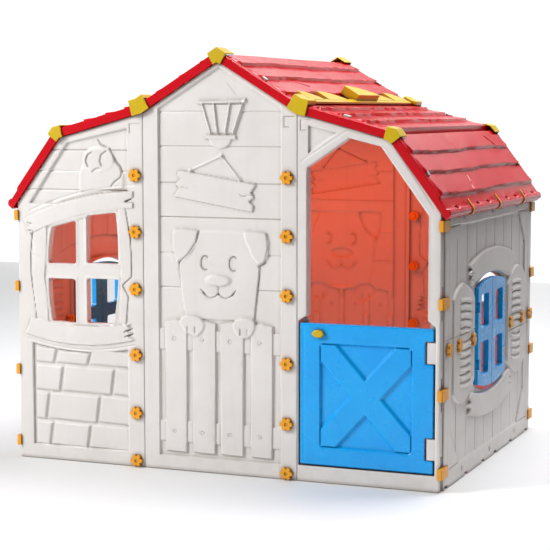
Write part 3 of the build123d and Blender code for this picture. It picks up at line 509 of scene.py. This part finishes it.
# Each slot's colour, darker mottling and paler scuffs, then the other settings of plastic().
MATERIALS = {
    "white_plastic": plastic("white_moulding", (0.80, 0.765, 0.735), (0.76, 0.72, 0.685), (0.86, 0.84, 0.82),
                             rough=0.40),
    "red_plastic": plastic("red_moulding", (0.80, 0.006, 0.016), (0.76, 0.005, 0.014), (0.82, 0.02, 0.03),
                           rough=0.20, glow=0.22, wear=0.2, painted_groove_shade=0.55),
    "blue_plastic": plastic("blue_moulding", (0.0, 0.42, 0.96), (0.0, 0.37, 0.92), (0.02, 0.48, 0.98),
                            rough=0.28, wear=0.4, painted_groove_shade=0.7),
    "yellow_plastic": plastic("yellow_moulding", (0.68, 0.47, 0.0), (0.62, 0.42, 0.0), (0.76, 0.56, 0.03),
                              rough=0.34),
    "orange_plastic": plastic("orange_moulding", (0.94, 0.40, 0.006), (0.88, 0.34, 0.004), (0.98, 0.50, 0.03),
                              rough=0.34),
}


# ---------------------------------------------------------------- front and rear walls
ROOF_LINE = [(652, 735), (497, 941), (233, 1011.5), (0, 1152.5)]     # underside of the roof, eave to ridge
ROOF_GAP = 1.2                    # gap between the walls' tops and the roof
WHITE, RED, BLUE = "white_plastic", "red_plastic", "blue_plastic"
YELLOW, ORANGE = "yellow_plastic", "orange_plastic"
SLOT_HEIGHTS = (51, 262, 507)     # middles of the slots behind the corner clips
SLOT_Y, SLOT_HALF_TALL, SLOT_HALF_WIDE = 480, 45, 4.5


def corner_slots(side):
    """Boxes of the slots in the left (-1) or right (1) corner flange of the front wall."""
    x = side * HALF_WIDTH
    return [((x - 9, -SLOT_Y - SLOT_HALF_WIDE, z - SLOT_HALF_TALL),
             (x + 9, -SLOT_Y + SLOT_HALF_WIDE, z + SLOT_HALF_TALL)) for z in SLOT_HEIGHTS]


def wall_top(x):
    """Height of a front wall's top edge."""
    x = abs(x)
    for (x0, z0), (x1, z1) in zip(ROOF_LINE, ROOF_LINE[1:]):
        if x >= x1:
            return z0 + (z1 - z0) * (x0 - x) / (x0 - x1) - ROOF_GAP
    return ROOF_LINE[-1][1] - ROOF_GAP


def on_front(u, v, w):
    """Place of a front sheet's points: u to the right, v up, w out of the wall."""
    return np.stack([u, FACE_Y - w, v], 1)


def box_of(left, low, right, high):
    return [(left, low), (right, low), (right, high), (left, high)]


def strip_bracket(sheet, left, right, top):
    """Small bracket-shaped line at the top of the strip that takes a panel's snaps."""
    bracket = [(right - 9, top - 16), (left + 9, top - 16), (left + 9, top - 44), (left + 24, top - 44)]
    sheet.line(bracket, -1.6, 2.6)


def draw_gable(s):
    """Recessed gable with boards and a chick."""
    gable = [(-600, 750), (-284, 750), (-284, 966), (-475, 925)]
    s.area(gable, -6.5, soft=5)
    for z in (905, 844, 790):
        s.line([(-620, z), (-284, z)], -1.6, 3.2)
    chest = [(-436, 786), (-300, 797), (-303, 846), (-330, 872), (-420, 872)]
    s.area(chest, -3.4, [0, -6, -4, 0, -8], soft=9)
    head = [(-424, 868), (-392, 842), (-350, 846), (-326, 874), (-340, 908), (-358, 914), (-378, 912),
            (-414, 902)]
    s.area(head, -2.2, [-4, -3, -4, -5, 0, 0, -3, -4], soft=9)
    s.line([(-340, 910), (-328, 890), (-320, 872), (-307, 860), (-301, 845), (-306, 828), (-325, 815),
            (-336, 803)], -2.4, 3.6)
    s.line([(-397, 898), (-411, 889), (-416, 873), (-409, 859)], -2.4, 4)
    s.line([(-350, 902), (-366, 892), (-371, 874), (-365, 860)], -2.4, 4)
    s.line([(-395, 843), (-384, 851), (-372, 853)], -2.2, 4)
    s.line([(-377, 934), (-368, 920), (-352, 914)], -2.2, 4)


def draw_barrel_window(s, panes):
    """Raised frame, sunk field and thickened bars of the window."""
    frame_area = [(-592, 660), (-592, 540), (-578, 410), (-288, 410), (-280, 490), (-300, 522), (-271, 545),
                  (-272, 640), (-287, 745), (-430, 745)]
    s.area(frame_area, 1.5, [7, -6, 0, 0, 0, 0, -5, 0, 0, 0], soft=3.5)
    s.line([(-592, 668), (-598, 600), (-597, 540), (-580, 410)], -2.2, 3.2)
    right_edge = [(-289, 742), (-274, 660), (-270, 600), (-271, 546), (-300, 522), (-281, 490), (-288, 412)]
    s.line(right_edge, -2.2, 3.2)
    field = [(-544, 684), (-553, 540), (-541, 398), (-311, 398), (-303, 540), (-312, 735)]
    s.area(field, -2.2, [2, 2, 0, 2, 2, 0], soft=4)
    s.line([(-586, 603), (-565, 596)], -0.8, 3)
    for hole in panes:
        near = s.near(hole, 30)
        s.h[near] += 2.2 * soften(1 - inside(hole, s.x[near], s.y[near]) / 12) * (s.h[near] < 0)


def draw_planks(s):
    """Bent planks over and under the window, with their shadows' hollows and splits."""
    top_plank = ([(-622, 703), (-612, 688), (-602, 684), (-611, 676), (-601, 659), (-264, 742), (-264, 757),
                  (-290, 760), (-264, 773), (-264, 790)], [0, 0, 0, 0, 19, 0, 0, 0, 0, -19])
    sill = ([(-597, 418), (-605, 394), (-618, 369), (-262, 366), (-286, 377), (-270, 384), (-292, 392),
             (-272, 398), (-284, 406), (-270, 413)], [0, 0, -24, 0, 0, 0, 0, 0, 0, 17])
    for points, bows in (top_plank, sill):
        grown = [(x + (-6 if x < -430 else 6), z) for x, z in points]
        s.area(grown, -0.8, [1.15 * b for b in bows], soft=7, add=True)
        s.area(points, 3.9, bows, soft=3.2)
    s.line([(-600, 728), (-264, 806)], -1.2, 4.5, bows=[17])
    s.line([(-612, 357), (-262, 352)], -1.2, 4.0, bows=[-24])
    for spot in ((-607, 694), (-604, 672)):
        s.line([spot, (spot[0] + 17, spot[1] - 4)], -2.2, 2.8)
    for a, b in (((-288, 761), (-272, 768)), ((-268, 384), (-292, 374)), ((-270, 399), (-294, 388))):
        s.line([a, b], -2.4, 2.8)


def draw_bricks(s):
    """Four rows of soft-edged bricks in a recess."""
    s.area([(-595, 42), (-285, 42), (-285, 336), (-595, 342)], -6.5, [0, 0, 16, 0], soft=5)
    rows = [(46, 112, (-535, -411)), (122, 198, (-547, -380)),
            (207, 279, (-500, -333)), (289, 338, (-520, -410))]       # bottom, top and joints of each row
    for low, high, joints in rows:
        lefts = [-586] + [x + 5 for x in joints]
        rights = [x - 5 for x in joints] + [-284]
        for left, right in zip(lefts, rights):
            lean = [0 if left == -586 else 5, 0 if right == -284 else 5]
            tall = min(high, 339)
            sag = 0 if high < 300 else 8 + 8 * (left > -530) * (right < -380)
            s.area([(left - lean[0], low), (right - lean[1], low - 3), (right + lean[1], tall - 4 - sag),
                    (left + lean[0], tall - sag)], -0.8, soft=8.5)


def draw_window_wall():
    """Window panel: gable, barrel window between two bent planks, and brickwork."""
    edge = SEAM
    outline = [(-HALF_WIDTH, 0), (-edge, 0), (-edge, wall_top(SEAM)), (-497, wall_top(497)),
               (-HALF_WIDTH, wall_top(HALF_WIDTH))]
    panes = [bowed([(-541, 577), (-450, 577), (-450, 703), (-529, 682)], [0, 0, 0, -3]),
             bowed([(-415, 581), (-314, 581), (-321, 728), (-415, 717)], [0, -3, 0, 0]),
             bowed([(-529, 409), (-452, 404), (-452, 533), (-541, 533)], [0, 0, 0, -3]),
             bowed([(-415, 407), (-331, 409), (-314, 537), (-415, 537)], [0, -3, 0, 0])]
    s = Sheet(outline, [rounded(p, 8) for p in panes])
    for hole in panes:
        margin = s.near(hole, 30)
        far = inside(hole, s.x[margin], s.y[margin])
        s.back[margin] = np.where(far < 16, 24.0, s.back[margin])
    draw_gable(s)
    draw_barrel_window(s, panes)
    draw_planks(s)
    draw_bricks(s)
    strip_bracket(s, -283, -edge, wall_top(283))
    s.back[s.x > -edge - 12] = 12.0
    return s


def rounded(points, radius):
    """Outline with its sharp corners rounded."""
    out = []
    count = len(points)
    for k in range(count):
        before, here, after = (np.array(points[(k + i) % count], float) for i in (-1, 0, 1))
        a, b = before - here, after - here
        la, lb = np.linalg.norm(a), np.linalg.norm(b)
        turn = math.degrees(math.acos(np.clip(a @ b / (la * lb), -1, 1)))
        if turn > 150:
            out.append(tuple(here))
            continue
        reach = min(radius, 0.45 * la, 0.45 * lb)
        start, end = here + a / la * reach, here + b / lb * reach
        for t in np.linspace(0, 1, 6):
            spot = start * (1 - t) ** 2 + here * 2 * t * (1 - t) + end * t * t
            out.append(tuple(spot))
    return out


def draw_lantern(s):
    """Wall lantern with sloping bars between two plates."""
    s.area([(-50, 1034), (72, 1034), (44, 955), (-25, 955)], -3.5, soft=4)
    s.area([(-66, 1035), (-64, 1042), (70, 1046), (82, 1050), (80, 1038)], 0.6, soft=4)
    s.line([(24, 1094), (52, 1062)], -1.0, 3)
    s.line([(80, 1050), (66, 1040)], -1.2, 2.6)
    for top, bottom in ((-50, -25), (-14, -4), (34, 20), (72, 44)):
        s.line([(top, 1034), (bottom, 955)], 3.6, 5.5)
    s.area(box_of(-42, 938, 52, 949), -0.6, soft=4)
    s.area([(-30, 937), (4, 911), (38, 937)], -2.6, [-7, -7, 0], soft=4)


def draw_hanging_board(s):
    """Blank board with ragged ends, hung on two strings."""
    board = [(-139, 778), (84, 741), (100, 740), (104, 756), (90, 768), (106, 778), (96, 793), (112, 814),
             (-122, 851), (-129, 838), (-118, 826), (-134, 812), (-122, 800)]
    s.area([(x * 1.02, z + 0.02 * (z - 795)) for x, z in board], -8.2, soft=6)
    s.area(board, -1.2, soft=3.6)
    s.line([(-130, 806), (-96, 801)], -1.4, 2.6)
    s.line([(104, 786), (70, 782), (62, 788)], -1.6, 2.6)
    s.line([(-88, 850), (8, 892)], 2.2, 3.6)
    s.line([(8, 892), (62, 828)], 2.2, 3.6)
    for spot in ((8, 892), (-88, 850), (62, 828)):
        s.spot(spot, (6.5, 6.5), 3.0, 3)


def draw_dog(s):
    """Head of a dog: outline, ears, eyes, nose and mouth."""
    head = [(-106, 436), (106, 436), (123, 592), (130, 678), (-130, 678), (-123, 592)]
    s.area(head, -2.6, [0, 0, -3, -6, -7, -3], soft=7)
    s.line([(-106, 440), (-122, 560), (-124, 594)], -1.8, 3.6)
    s.line([(106, 440), (120, 560), (122, 590)], -2.2, 3.6)
    s.area([(-140, 682), (-126, 594), (-70, 650), (-64, 682)], 0.6, [-8, -10, 0, -4], soft=6)
    s.area([(76, 682), (92, 640), (124, 594), (148, 640), (140, 682)], 0.6, [-4, -6, -8, -4, -3], soft=6)
    s.line([(-62, 682), (-70, 652), (-95, 616), (-125, 592)], -2.4, 3.4)
    s.line([(144, 676), (147, 640), (136, 600), (118, 590)], -2.0, 3.4)
    for x in (-42, 44):
        turns = [math.radians(degrees) for degrees in range(55, 306, 18)]
        s.line([(x + 13 * math.cos(turn), 594 + 20 * math.sin(turn)) for turn in turns], -2.4, 3.6)
        s.line([(x + 9 * math.cos(turn), 594 + 15 * math.sin(turn)) for turn in turns], 0.8, 3)
    s.spot((-2, 546), (37, 15), 6.0, 6)
    s.line([(-3, 531), (-3, 508)], -2.2, 3.4)
    s.line([(-3, 508), (-50, 512)], -2.2, 3.4, bows=[13])
    s.line([(45, 512), (-3, 508)], -2.2, 3.4, bows=[13])
    s.line([(-56, 520), (-44, 506)], -1.8, 3)
    s.line([(51, 520), (39, 506)], -1.8, 3)


def draw_fence(s):
    """Two rails and four nailed pickets."""
    for low, high in ((345, 404), (83, 142)):
        s.area(box_of(-184, low, 185, high), -2.6, soft=5)
    for left, right in ((-165, -100), (-80, -12), (5, 73), (97, 160)):
        mid = (left + right) / 2
        s.area([(left, 56), (right, 54), (right + 2, 424), (mid, 432), (left - 2, 424)], -7.6, soft=10)
        s.area([(left, 56), (right, 54), (right + 2, 424), (mid, 432), (left - 2, 424)], 0.4, soft=5)
        for z in (377, 113):
            s.spot((mid - 5, z), (6, 6), -2.4, 3)
            s.spot((mid - 5, z), (3.4, 3.4), 2.6, 2.5)


def draw_paws(s):
    """Two paws over the fence."""
    paws = [([(-120, 430), (-112, 412), (-84, 388), (-56, 396), (-45, 424), (-62, 441), (-100, 444)],
             [-2, -3, -6, -5, -3, -3, -4]),
            ([(44, 428), (52, 402), (78, 388), (104, 406), (111, 432), (94, 443), (60, 441)],
             [-3, -5, -5, -2, -3, -3, -3])]
    for points, bows in paws:
        s.area(points, 4.2, bows, soft=7)
        mid = sum(p[0] for p in points) / len(points)
        for dx in (-12, 10):
            s.line([(mid + dx, 398), (mid + dx, 414)], -1.8, 3)


def draw_middle_wall():
    """Middle panel: boards, a lantern, a hanging board, and a dog looking over a picket fence."""
    edge = SEAM
    outline = [(-edge, 0), (edge, 0), (edge, wall_top(SEAM)), (0, wall_top(0)), (-edge, wall_top(SEAM))]
    s = Sheet(outline)
    field = [(-184, 42), (185, 42), (185, 1026), (0, 1136), (-184, 1024)]
    s.area(field, -6.5, soft=5)
    for z in (1013, 917, 817, 720, 620, 522):
        s.line([(-182, z), (183, z)], -1.7, 3.2)
    draw_lantern(s)
    draw_hanging_board(s)
    draw_dog(s)
    draw_fence(s)
    draw_paws(s)
    strip_bracket(s, 186, edge, wall_top(186) - 22)
    s.back[np.abs(s.x) > edge - 12] = 12.0
    return s


def draw_door_wall():
    """Door panel: a frame round the doorway with a brace across its upper corner."""
    outline = [(SEAM, 0), (HALF_WIDTH, 0), (HALF_WIDTH, wall_top(HALF_WIDTH)), (497, wall_top(497)),
               (SEAM, wall_top(SEAM))]
    way = [(238, 45), (628, 45), (628, 446), (606, 462), (606, 741), (472, 922), (382, 944), (262, 864),
           (262, 462), (238, 446)]
    s = Sheet(outline, [way])
    s.area([(266, 903), (345, 956), (266, 976)], -6.0, soft=4)
    s.line([(246, 880), (262, 892), (380, 966), (500, 941), (622, 760)], -0.9, 4)
    s.line([(612, 500), (612, 742)], -0.8, 3.4)
    strip_bracket(s, SEAM + 2, SEAM + 48, wall_top(SEAM) - 2)
    s.back[s.x < SEAM + 12] = 12.0
    return s


def add_sheet(name, sheet, place, body, slot, nodes, keep=0.2):
    """Make a sheet's mesh, keeping a share of its faces, and let it stand for its CAD nodes."""
    obj = new_object(name, sheet_mesh(name, sheet, place))
    finish_sheet(obj, keep)
    return stand_for(obj, body, slot, *nodes)


window_wall = add_sheet("front_window_wall_moulding", draw_window_wall(), on_front, "house", WHITE,
                        ["front_window_wall"])
middle_wall = add_sheet("front_middle_wall_moulding", draw_middle_wall(), on_front, "house", WHITE,
                        ["front_middle_wall"])
carve(window_wall, corner_slots(-1))
stand_for(turned(window_wall, "rear_window_wall_moulding", HALF_TURN), "house", WHITE, "rear_window_wall")
stand_for(turned(window_wall, "rear_mirrored_wall_moulding", MIRROR_Y), "house", WHITE, "rear_mirrored_wall")
stand_for(turned(middle_wall, "rear_middle_wall_moulding", HALF_TURN), "house", WHITE, "rear_middle_wall")


# ---------------------------------------------------------------- side walls
SIDE_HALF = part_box("right_wall_upper")[1].y / MM
SIDE_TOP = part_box("right_wall_upper")[1].z / MM
MID_Z = SIDE_TOP / 2


LOUVRE = 22.5                 # spacing of the shutters' louvres


def on_side(u, v, w):
    return np.stack([SIDE_X + w, u, v], 1)


def draw_side(plank, bows):
    """Half of a side wall: boards, corner braces, louvred shutters and the plank bowed round the window."""
    window = bowed([(-166, 243), (166, 243), (166, 515), (-166, 515)], [-34, 0, -34, 0])
    outline = [(-SIDE_HALF, 406), (-60, 406), (-60, 352), (SIDE_HALF, 352), (SIDE_HALF, SIDE_TOP)]
    for y in (446, 250, 69, -69, -250, -446):
        outline += [(y + 15, SIDE_TOP), (y + 15, SIDE_TOP - 9), (y - 15, SIDE_TOP - 9), (y - 15, SIDE_TOP)]
    outline.append((-SIDE_HALF, SIDE_TOP))
    s = Sheet(outline, [rounded(window, 8)])
    s.back[:] = 24.0
    s.area(box_of(-400, 250, 400, 706), -4.5, soft=3.5)
    for y in (50, 148, 247, 345):
        for side in (-1, 1):
            s.line([(side * y, 340), (side * y, 706)], -1.8, 3.0)
    for side in (-1, 1):
        s.area([(side * 322, 712), (side * 420, 712), (side * 420, 590)][::side], -1.0, soft=3.5)
        s.line([(side * 322, 708), (side * 402, 604)], -1.6, 3.0)
        s.line([(side * 436, 340), (side * 436, 706)], -0.8, 2.6)
    s.line([(-436, 708), (436, 708)], -1.6, 3.0)
    s.line([(-436, 708), (-436, 748)], -1.4, 2.6)
    s.area(plank, -4.5, bows, soft=9)
    s.area(plank, 4.4, bows, soft=3.5)
    jagged = -1 if plank[0][0] < 0 else 1
    s.line([(jagged * 226, 567), (jagged * 196, 562)], -1.6, 2.8)
    s.line([(jagged * 226, 548), (jagged * 204, 545)], -1.6, 2.8)
    for side in (-1, 1):
        shutter = [(side * y, z) for y, z in ((186, 300), (396, 300), (396, 508), (300, 546), (186, 497))]
        bows = [0, 0, side * -9, side * -8, 0]
        points = shutter if side > 0 else [shutter[0]] + shutter[:0:-1]
        edge_bows = bows if side > 0 else [0, -bows[3], -bows[2], 0, 0]
        s.area(points, 3.6, edge_bows, soft=4)
        s.line([(side * 218, 340), (side * 218, 480)], -0.7, 2.6)
        for k in range(6):
            z = MID_Z + LOUVRE * k
            rise = 3 * side
            s.line([(side * 332, z + 7 - rise), (side * 280, z + 9), (side * 232, z + 4 + rise)], 2.0, 6.0)
            s.line([(side * 332, z - 3 - rise), (side * 280, z - 1), (side * 232, z - 6 + rise)], -2.4, 4.5)
    for y in (-294, 0, 294):
        s.spot((y, SIDE_TOP - 28), (7, 7), -3.5, 4)
        s.spot((y, SIDE_TOP - 28), (2.5, 4), 3.0, 2)
    return s


def rolled(u, v, w):
    """The upper half's own drawing, rolled over to make the lower half."""
    return np.stack([SIDE_X + w, -u, SIDE_TOP - v], 1)


PLANK = [(-236, 588), (-222, 576), (-240, 566), (-214, 556), (-226, 546), (-205, 530), (205, 520), (238, 545),
         (262, 586)]
FLIPPED = [(-x, z) for x, z in PLANK[::-1]]
upper_half = draw_side(PLANK, [0, 0, 0, 0, 0, 28, 0, 0, -34])
lower_half = draw_side(FLIPPED, [0, 0, 28, 0, 0, 0, 0, 0, -34])
upper_right = add_sheet("right_wall_upper_moulding", upper_half, on_side, "house", WHITE,
                        ["right_wall_upper"])
lower_right = add_sheet("right_wall_lower_moulding", lower_half, rolled, "house", WHITE,
                        ["right_wall_lower"])
stand_for(turned(upper_right, "left_wall_upper_moulding", HALF_TURN), "house", WHITE, "left_wall_upper")
stand_for(turned(lower_right, "left_wall_lower_moulding", HALF_TURN), "house", WHITE, "left_wall_lower")
door_wall = add_sheet("front_door_wall_moulding", draw_door_wall(), on_front, "house", WHITE,
                      ["front_door_wall"])
carve(door_wall, corner_slots(1))
hinge_blocks = [(604, 634, low, high, -22, -2) for low, high in ((86, 144), (346, 404))]
hinges = blocks("front_door_wall_hinges", hinge_blocks, on_front, 3)
stops = blocks("front_door_wall_stops", [(232, 259, 42, 452, -30, -24), (607, 634, 42, 452, -30, -24),
                                         (232, 634, 42, 62, -29.5, -24.5)], on_front, 1.5)
for piece in (hinges, stops):
    stand_for(piece, "house", WHITE, "front_door_wall")


# ---------------------------------------------------------------- half-door
def draw_half_door():
    """Half-door leaf: a flat frame round a square recess with a raised cross."""
    low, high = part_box("half_door")
    left, right = low.x / MM, 0.623 / MM
    bottom, top = low.z / MM, high.z / MM
    edge = [(left, bottom), (right, bottom), (right, 84), (599, 84), (599, 146), (right, 146), (right, 344),
            (599, 344), (599, 406), (right, 406), (right, top), (left, top)]
    s = Sheet(rounded(edge, 5))
    s.back[:] = 20.0
    s.area(rounded(box_of(301, 100, 561, 385), 10), -8.0, soft=7)
    for a, b in (((301, 100), (561, 385)), ((301, 385), (561, 100))):
        length = math.dist(a, b)
        nx, ny = -(b[1] - a[1]) / length * 33, (b[0] - a[0]) / length * 33
        arm = [(a[0] + nx, a[1] + ny), (a[0] - nx, a[1] - ny), (b[0] - nx, b[1] - ny), (b[0] + nx, b[1] + ny)]
        near = s.near(arm, 12)
        share = soften(0.5 - inside(arm, s.x[near], s.y[near]) / 8)
        keep = inside(box_of(303, 102, 559, 383), s.x[near], s.y[near]) < 0
        s.h[near] = np.where(keep, np.maximum(s.h[near], -8 + 7 * share), s.h[near])
    s.line([(252, 62), (252, 428)], -0.7, 4)
    return s


DOOR_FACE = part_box("half_door")[0].y / MM


def on_door(u, v, w):
    return np.stack([u, DOOR_FACE - w, v], 1)


add_sheet("half_door_moulding", draw_half_door(), on_door, "half_door", BLUE, ["half_door"], keep=0.35)


# ---------------------------------------------------------------- roof
ROOF_THICK, ROOF_TOOTH = 22.0, 9.0
COURSES = [(55, 127, 193), (78, 150, 212), (57, 140, 214)]
CRACKS = [[[(-182, 62), (-170, 78), (-148, 88), (-132, 112)],
           [(312, 232), (330, 222), (338, 206), (352, 198)]],
          [[(90, 172), (130, 196), (190, 190), (222, 168)],
           [(60, 162), (150, 178), (240, 160)]],
          [[(-262, 122), (-236, 106), (-214, 98), (-196, 66)],
           [(330, 254), (356, 240), (380, 214), (398, 200)]]]      # chains of points on each slope
ROOF_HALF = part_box("roof_lower_right")[1].y / MM


def slope(index):
    """Foot, direction up, outward normal and length of one roof slope on the right."""
    (x0, z0), (x1, z1) = ROOF_LINE[index], ROOF_LINE[index + 1]
    length = math.dist((x0, z0), (x1, z1))
    run = ((x1 - x0) / length, (z1 - z0) / length)
    return (x0, z0), run, (run[1], -run[0]), length


def on_roof(index):
    (x0, z0), run, normal, _ = slope(index)

    def place(u, v, w):
        """u is along the house, v up the slope from the eave side, w above the underside."""
        return np.stack([x0 + run[0] * v + normal[0] * w, u, z0 + run[1] * v + normal[1] * w], 1)
    return place


def draw_roof(index):
    """One roof panel: stepped wavy courses between smooth rims, and a roll along the eave."""
    length = slope(index)[3]
    start = -4.0 if index == 0 else 0.6
    outline = [(-ROOF_HALF, start), (ROOF_HALF, start), (ROOF_HALF, length - 0.6), (-ROOF_HALF, length - 0.6)]
    s = Sheet(outline, step=3.0)
    s.back[:] = 0.0
    y, v = s.x, s.y
    waver = 2.2 * np.sin(y / 97 + 2 * index) + 1.4 * np.sin(y / 41 + index)
    s.h[:] = ROOF_THICK
    edges = [0.0] + list(COURSES[index]) + [length + 6]
    for k in range(len(edges) - 1):
        low, high = edges[k], edges[k + 1]
        if index == 0 and k == 0:
            continue
        bend = waver * (k > 0)
        share = soften((v - low - bend + 2.0) / 4.0)
        tooth = ROOF_THICK + ROOF_TOOTH * np.clip(1 - (v - low - bend) / (high - low), 0, 1)
        s.h = s.h * (1 - share) + tooth * share
    for chain in CRACKS[index]:
        s.line(chain, -3.0, 4.2)
    share = soften((np.abs(y) - (ROOF_HALF - 20)) / 4)
    s.h = s.h * (1 - share) + (ROOF_THICK + 2.0) * share
    if index == 0:
        roll = 11.0 + np.sqrt(np.clip(13.0 ** 2 - (v - 8.5) ** 2, 0, None))
        valley = 19.0 + 0.02 * (v - 20)
        blend = soften((v - 50) / 5)
        s.h = np.where(v < 55, np.maximum(roll, valley) * (1 - blend) + s.h * blend, s.h)
        for k in range(-4, 5):
            spot = k * 106.0 + 12
            if min(abs(spot - clip) for clip in (-290, 0, 290)) > 24:
                s.spot((spot, 15), (13, 7), -8.5, 4)
    return s


for index, label in enumerate(("lower", "middle", "upper")):
    right_node, left_node = f"roof_{label}_right", f"roof_{label}_left"
    right = add_sheet(right_node + "_moulding", draw_roof(index), on_roof(index), "house", RED, [right_node])
    stand_for(turned(right, left_node + "_moulding", HALF_TURN), "house", RED, left_node)


# Tabs of the walls' top edges, which come up through the roof behind the fascia: on the right of the front,
# on its left, on the right of the rear and on its left.
OUTER_WALLS = ("front_door_wall", "front_window_wall", "rear_window_wall", "rear_mirrored_wall")
MIDDLE_WALLS = ("front_middle_wall", "front_middle_wall", "rear_middle_wall", "rear_middle_wall")
for index, walls in enumerate((OUTER_WALLS, OUTER_WALLS, MIDDLE_WALLS)):
    middle = slope(index)[3] / 2
    tab = blocks(f"{walls[0]}_tab_{index}", [(-488, -477, middle - 11, middle + 11, -4, ROOF_THICK + 8)],
                 on_roof(index), 3)
    stand_for(tab, "house", WHITE, walls[0])
    turns = (("left", MIRROR_X), ("rear_right", MIRROR_Y), ("rear_left", HALF_TURN))
    for (label, matrix), node in zip(turns, walls[1:]):
        stand_for(turned(tab, f"{node}_tab_{index}_{label}", matrix), "house", WHITE, node)


# ---------------------------------------------------------------- CAD pieces that keep their shape
SLOT_WORDS = [("valley_trim", YELLOW), ("cap", YELLOW), ("leaf", BLUE), ("snaps", ORANGE), ("nuts", ORANGE),
              ("clips", ORANGE), ("window_pins", BLUE), ("knob", YELLOW)]
for name, node in sorted(frame["nodes"].items()):
    if node.hide_render:
        continue
    slot = next((s for word, s in SLOT_WORDS if word in name), WHITE)
    if "pins" in name or "nuts" in name:
        node.data.materials.clear()
        node.data.materials.append(MATERIALS[slot])
        continue
    radius = 2.5 if "leaf" in name or "valley_trim" in name else 1.5 if "snaps" in name else 2.0
    softened(name, node["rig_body"], slot, radius)

# ---------------------------------------------------------------- stage, light and camera
scene = bpy.context.scene
scene.view_settings.view_transform = "Standard"


def card(name, size, place, turn, colour, rough, glow):
    """Flat card of the studio: the floor, the backdrop, or the dark flag beside the house."""
    bpy.ops.mesh.primitive_plane_add(size=1, location=place, rotation=turn)
    obj = bpy.context.object
    obj.name = name
    obj.scale = (size[0], size[1], 1.0)
    material = bpy.data.materials.new(name)
    material.use_nodes = True
    shader = material.node_tree.nodes["Principled BSDF"]
    shader.inputs["Base Color"].default_value = (colour, colour, colour, 1)
    shader.inputs["Roughness"].default_value = rough
    shader.inputs["Emission Color"].default_value = (1.0, 1.0, 1.0, 1)
    shader.inputs["Emission Strength"].default_value = glow
    obj.data.materials.append(material)


card("floor", (40, 40), (0, 0, 0), (0, 0, 0), colour=0.76, rough=0.6, glow=0.10)
card("backdrop", (16, 1.95), (-1.0, 5.0, 0.875), (math.pi / 2, 0, 0), colour=0.0, rough=0.5, glow=1.05)
card("flag", (1.3, 2.9), (1.3, 0.3, 0.65), (0, math.pi / 2, 0), colour=0.02, rough=0.9, glow=0.0)


def lamp(name, place, aim, size, power, colour=(1, 1, 1)):
    """Soft rectangular lamp aimed at a point; it doesn't show itself to the camera."""
    data = bpy.data.lights.new(name, "AREA")
    data.shape = "RECTANGLE"
    data.size, data.size_y = size
    data.energy = power
    data.color = colour
    obj = new_object(name, data)
    obj.location = place
    obj.rotation_euler = (Vector(aim) - Vector(place)).to_track_quat("-Z", "Y").to_euler()
    obj.visible_camera = False


lamp("key", (-3.3, -3.4, 3.2), (0, 0, 0.5), (1.6, 1.6), 235)
lamp("top", (1.0, 0.9, 4.3), (0.2, 0, 0.8), (2.4, 3.0), 235, (0.98, 0.98, 1.0))
lamp("rear", (-0.8, 5.0, 3.1), (0.2, 0, 1.1), (4.4, 1.4), 24)
lamp("fill", (4.4, -3.4, 1.6), (0, 0, 0.5), (2.4, 2.4), 4)
lamp("inside", (0.0, 0.0, 0.93), (0, 0.1, 0.2), (0.7, 0.5), 4.2, (1.0, 0.09, 0.0))
world = bpy.data.worlds.new("studio")
world.use_nodes = True
world.node_tree.nodes["Background"].inputs["Color"].default_value = (0.93, 0.95, 1.0, 1)
world.node_tree.nodes["Background"].inputs["Strength"].default_value = 0.13
scene.world = world

view = bpy.data.cameras.new("camera")
view.sensor_width = 36
view.lens = 110.49
camera = new_object("camera", view)
camera.location = (1.9069, -4.7622, 1.0219)
camera.rotation_euler = (math.pi / 2 - 0.0982, 0, 0.3872)
scene.camera = camera
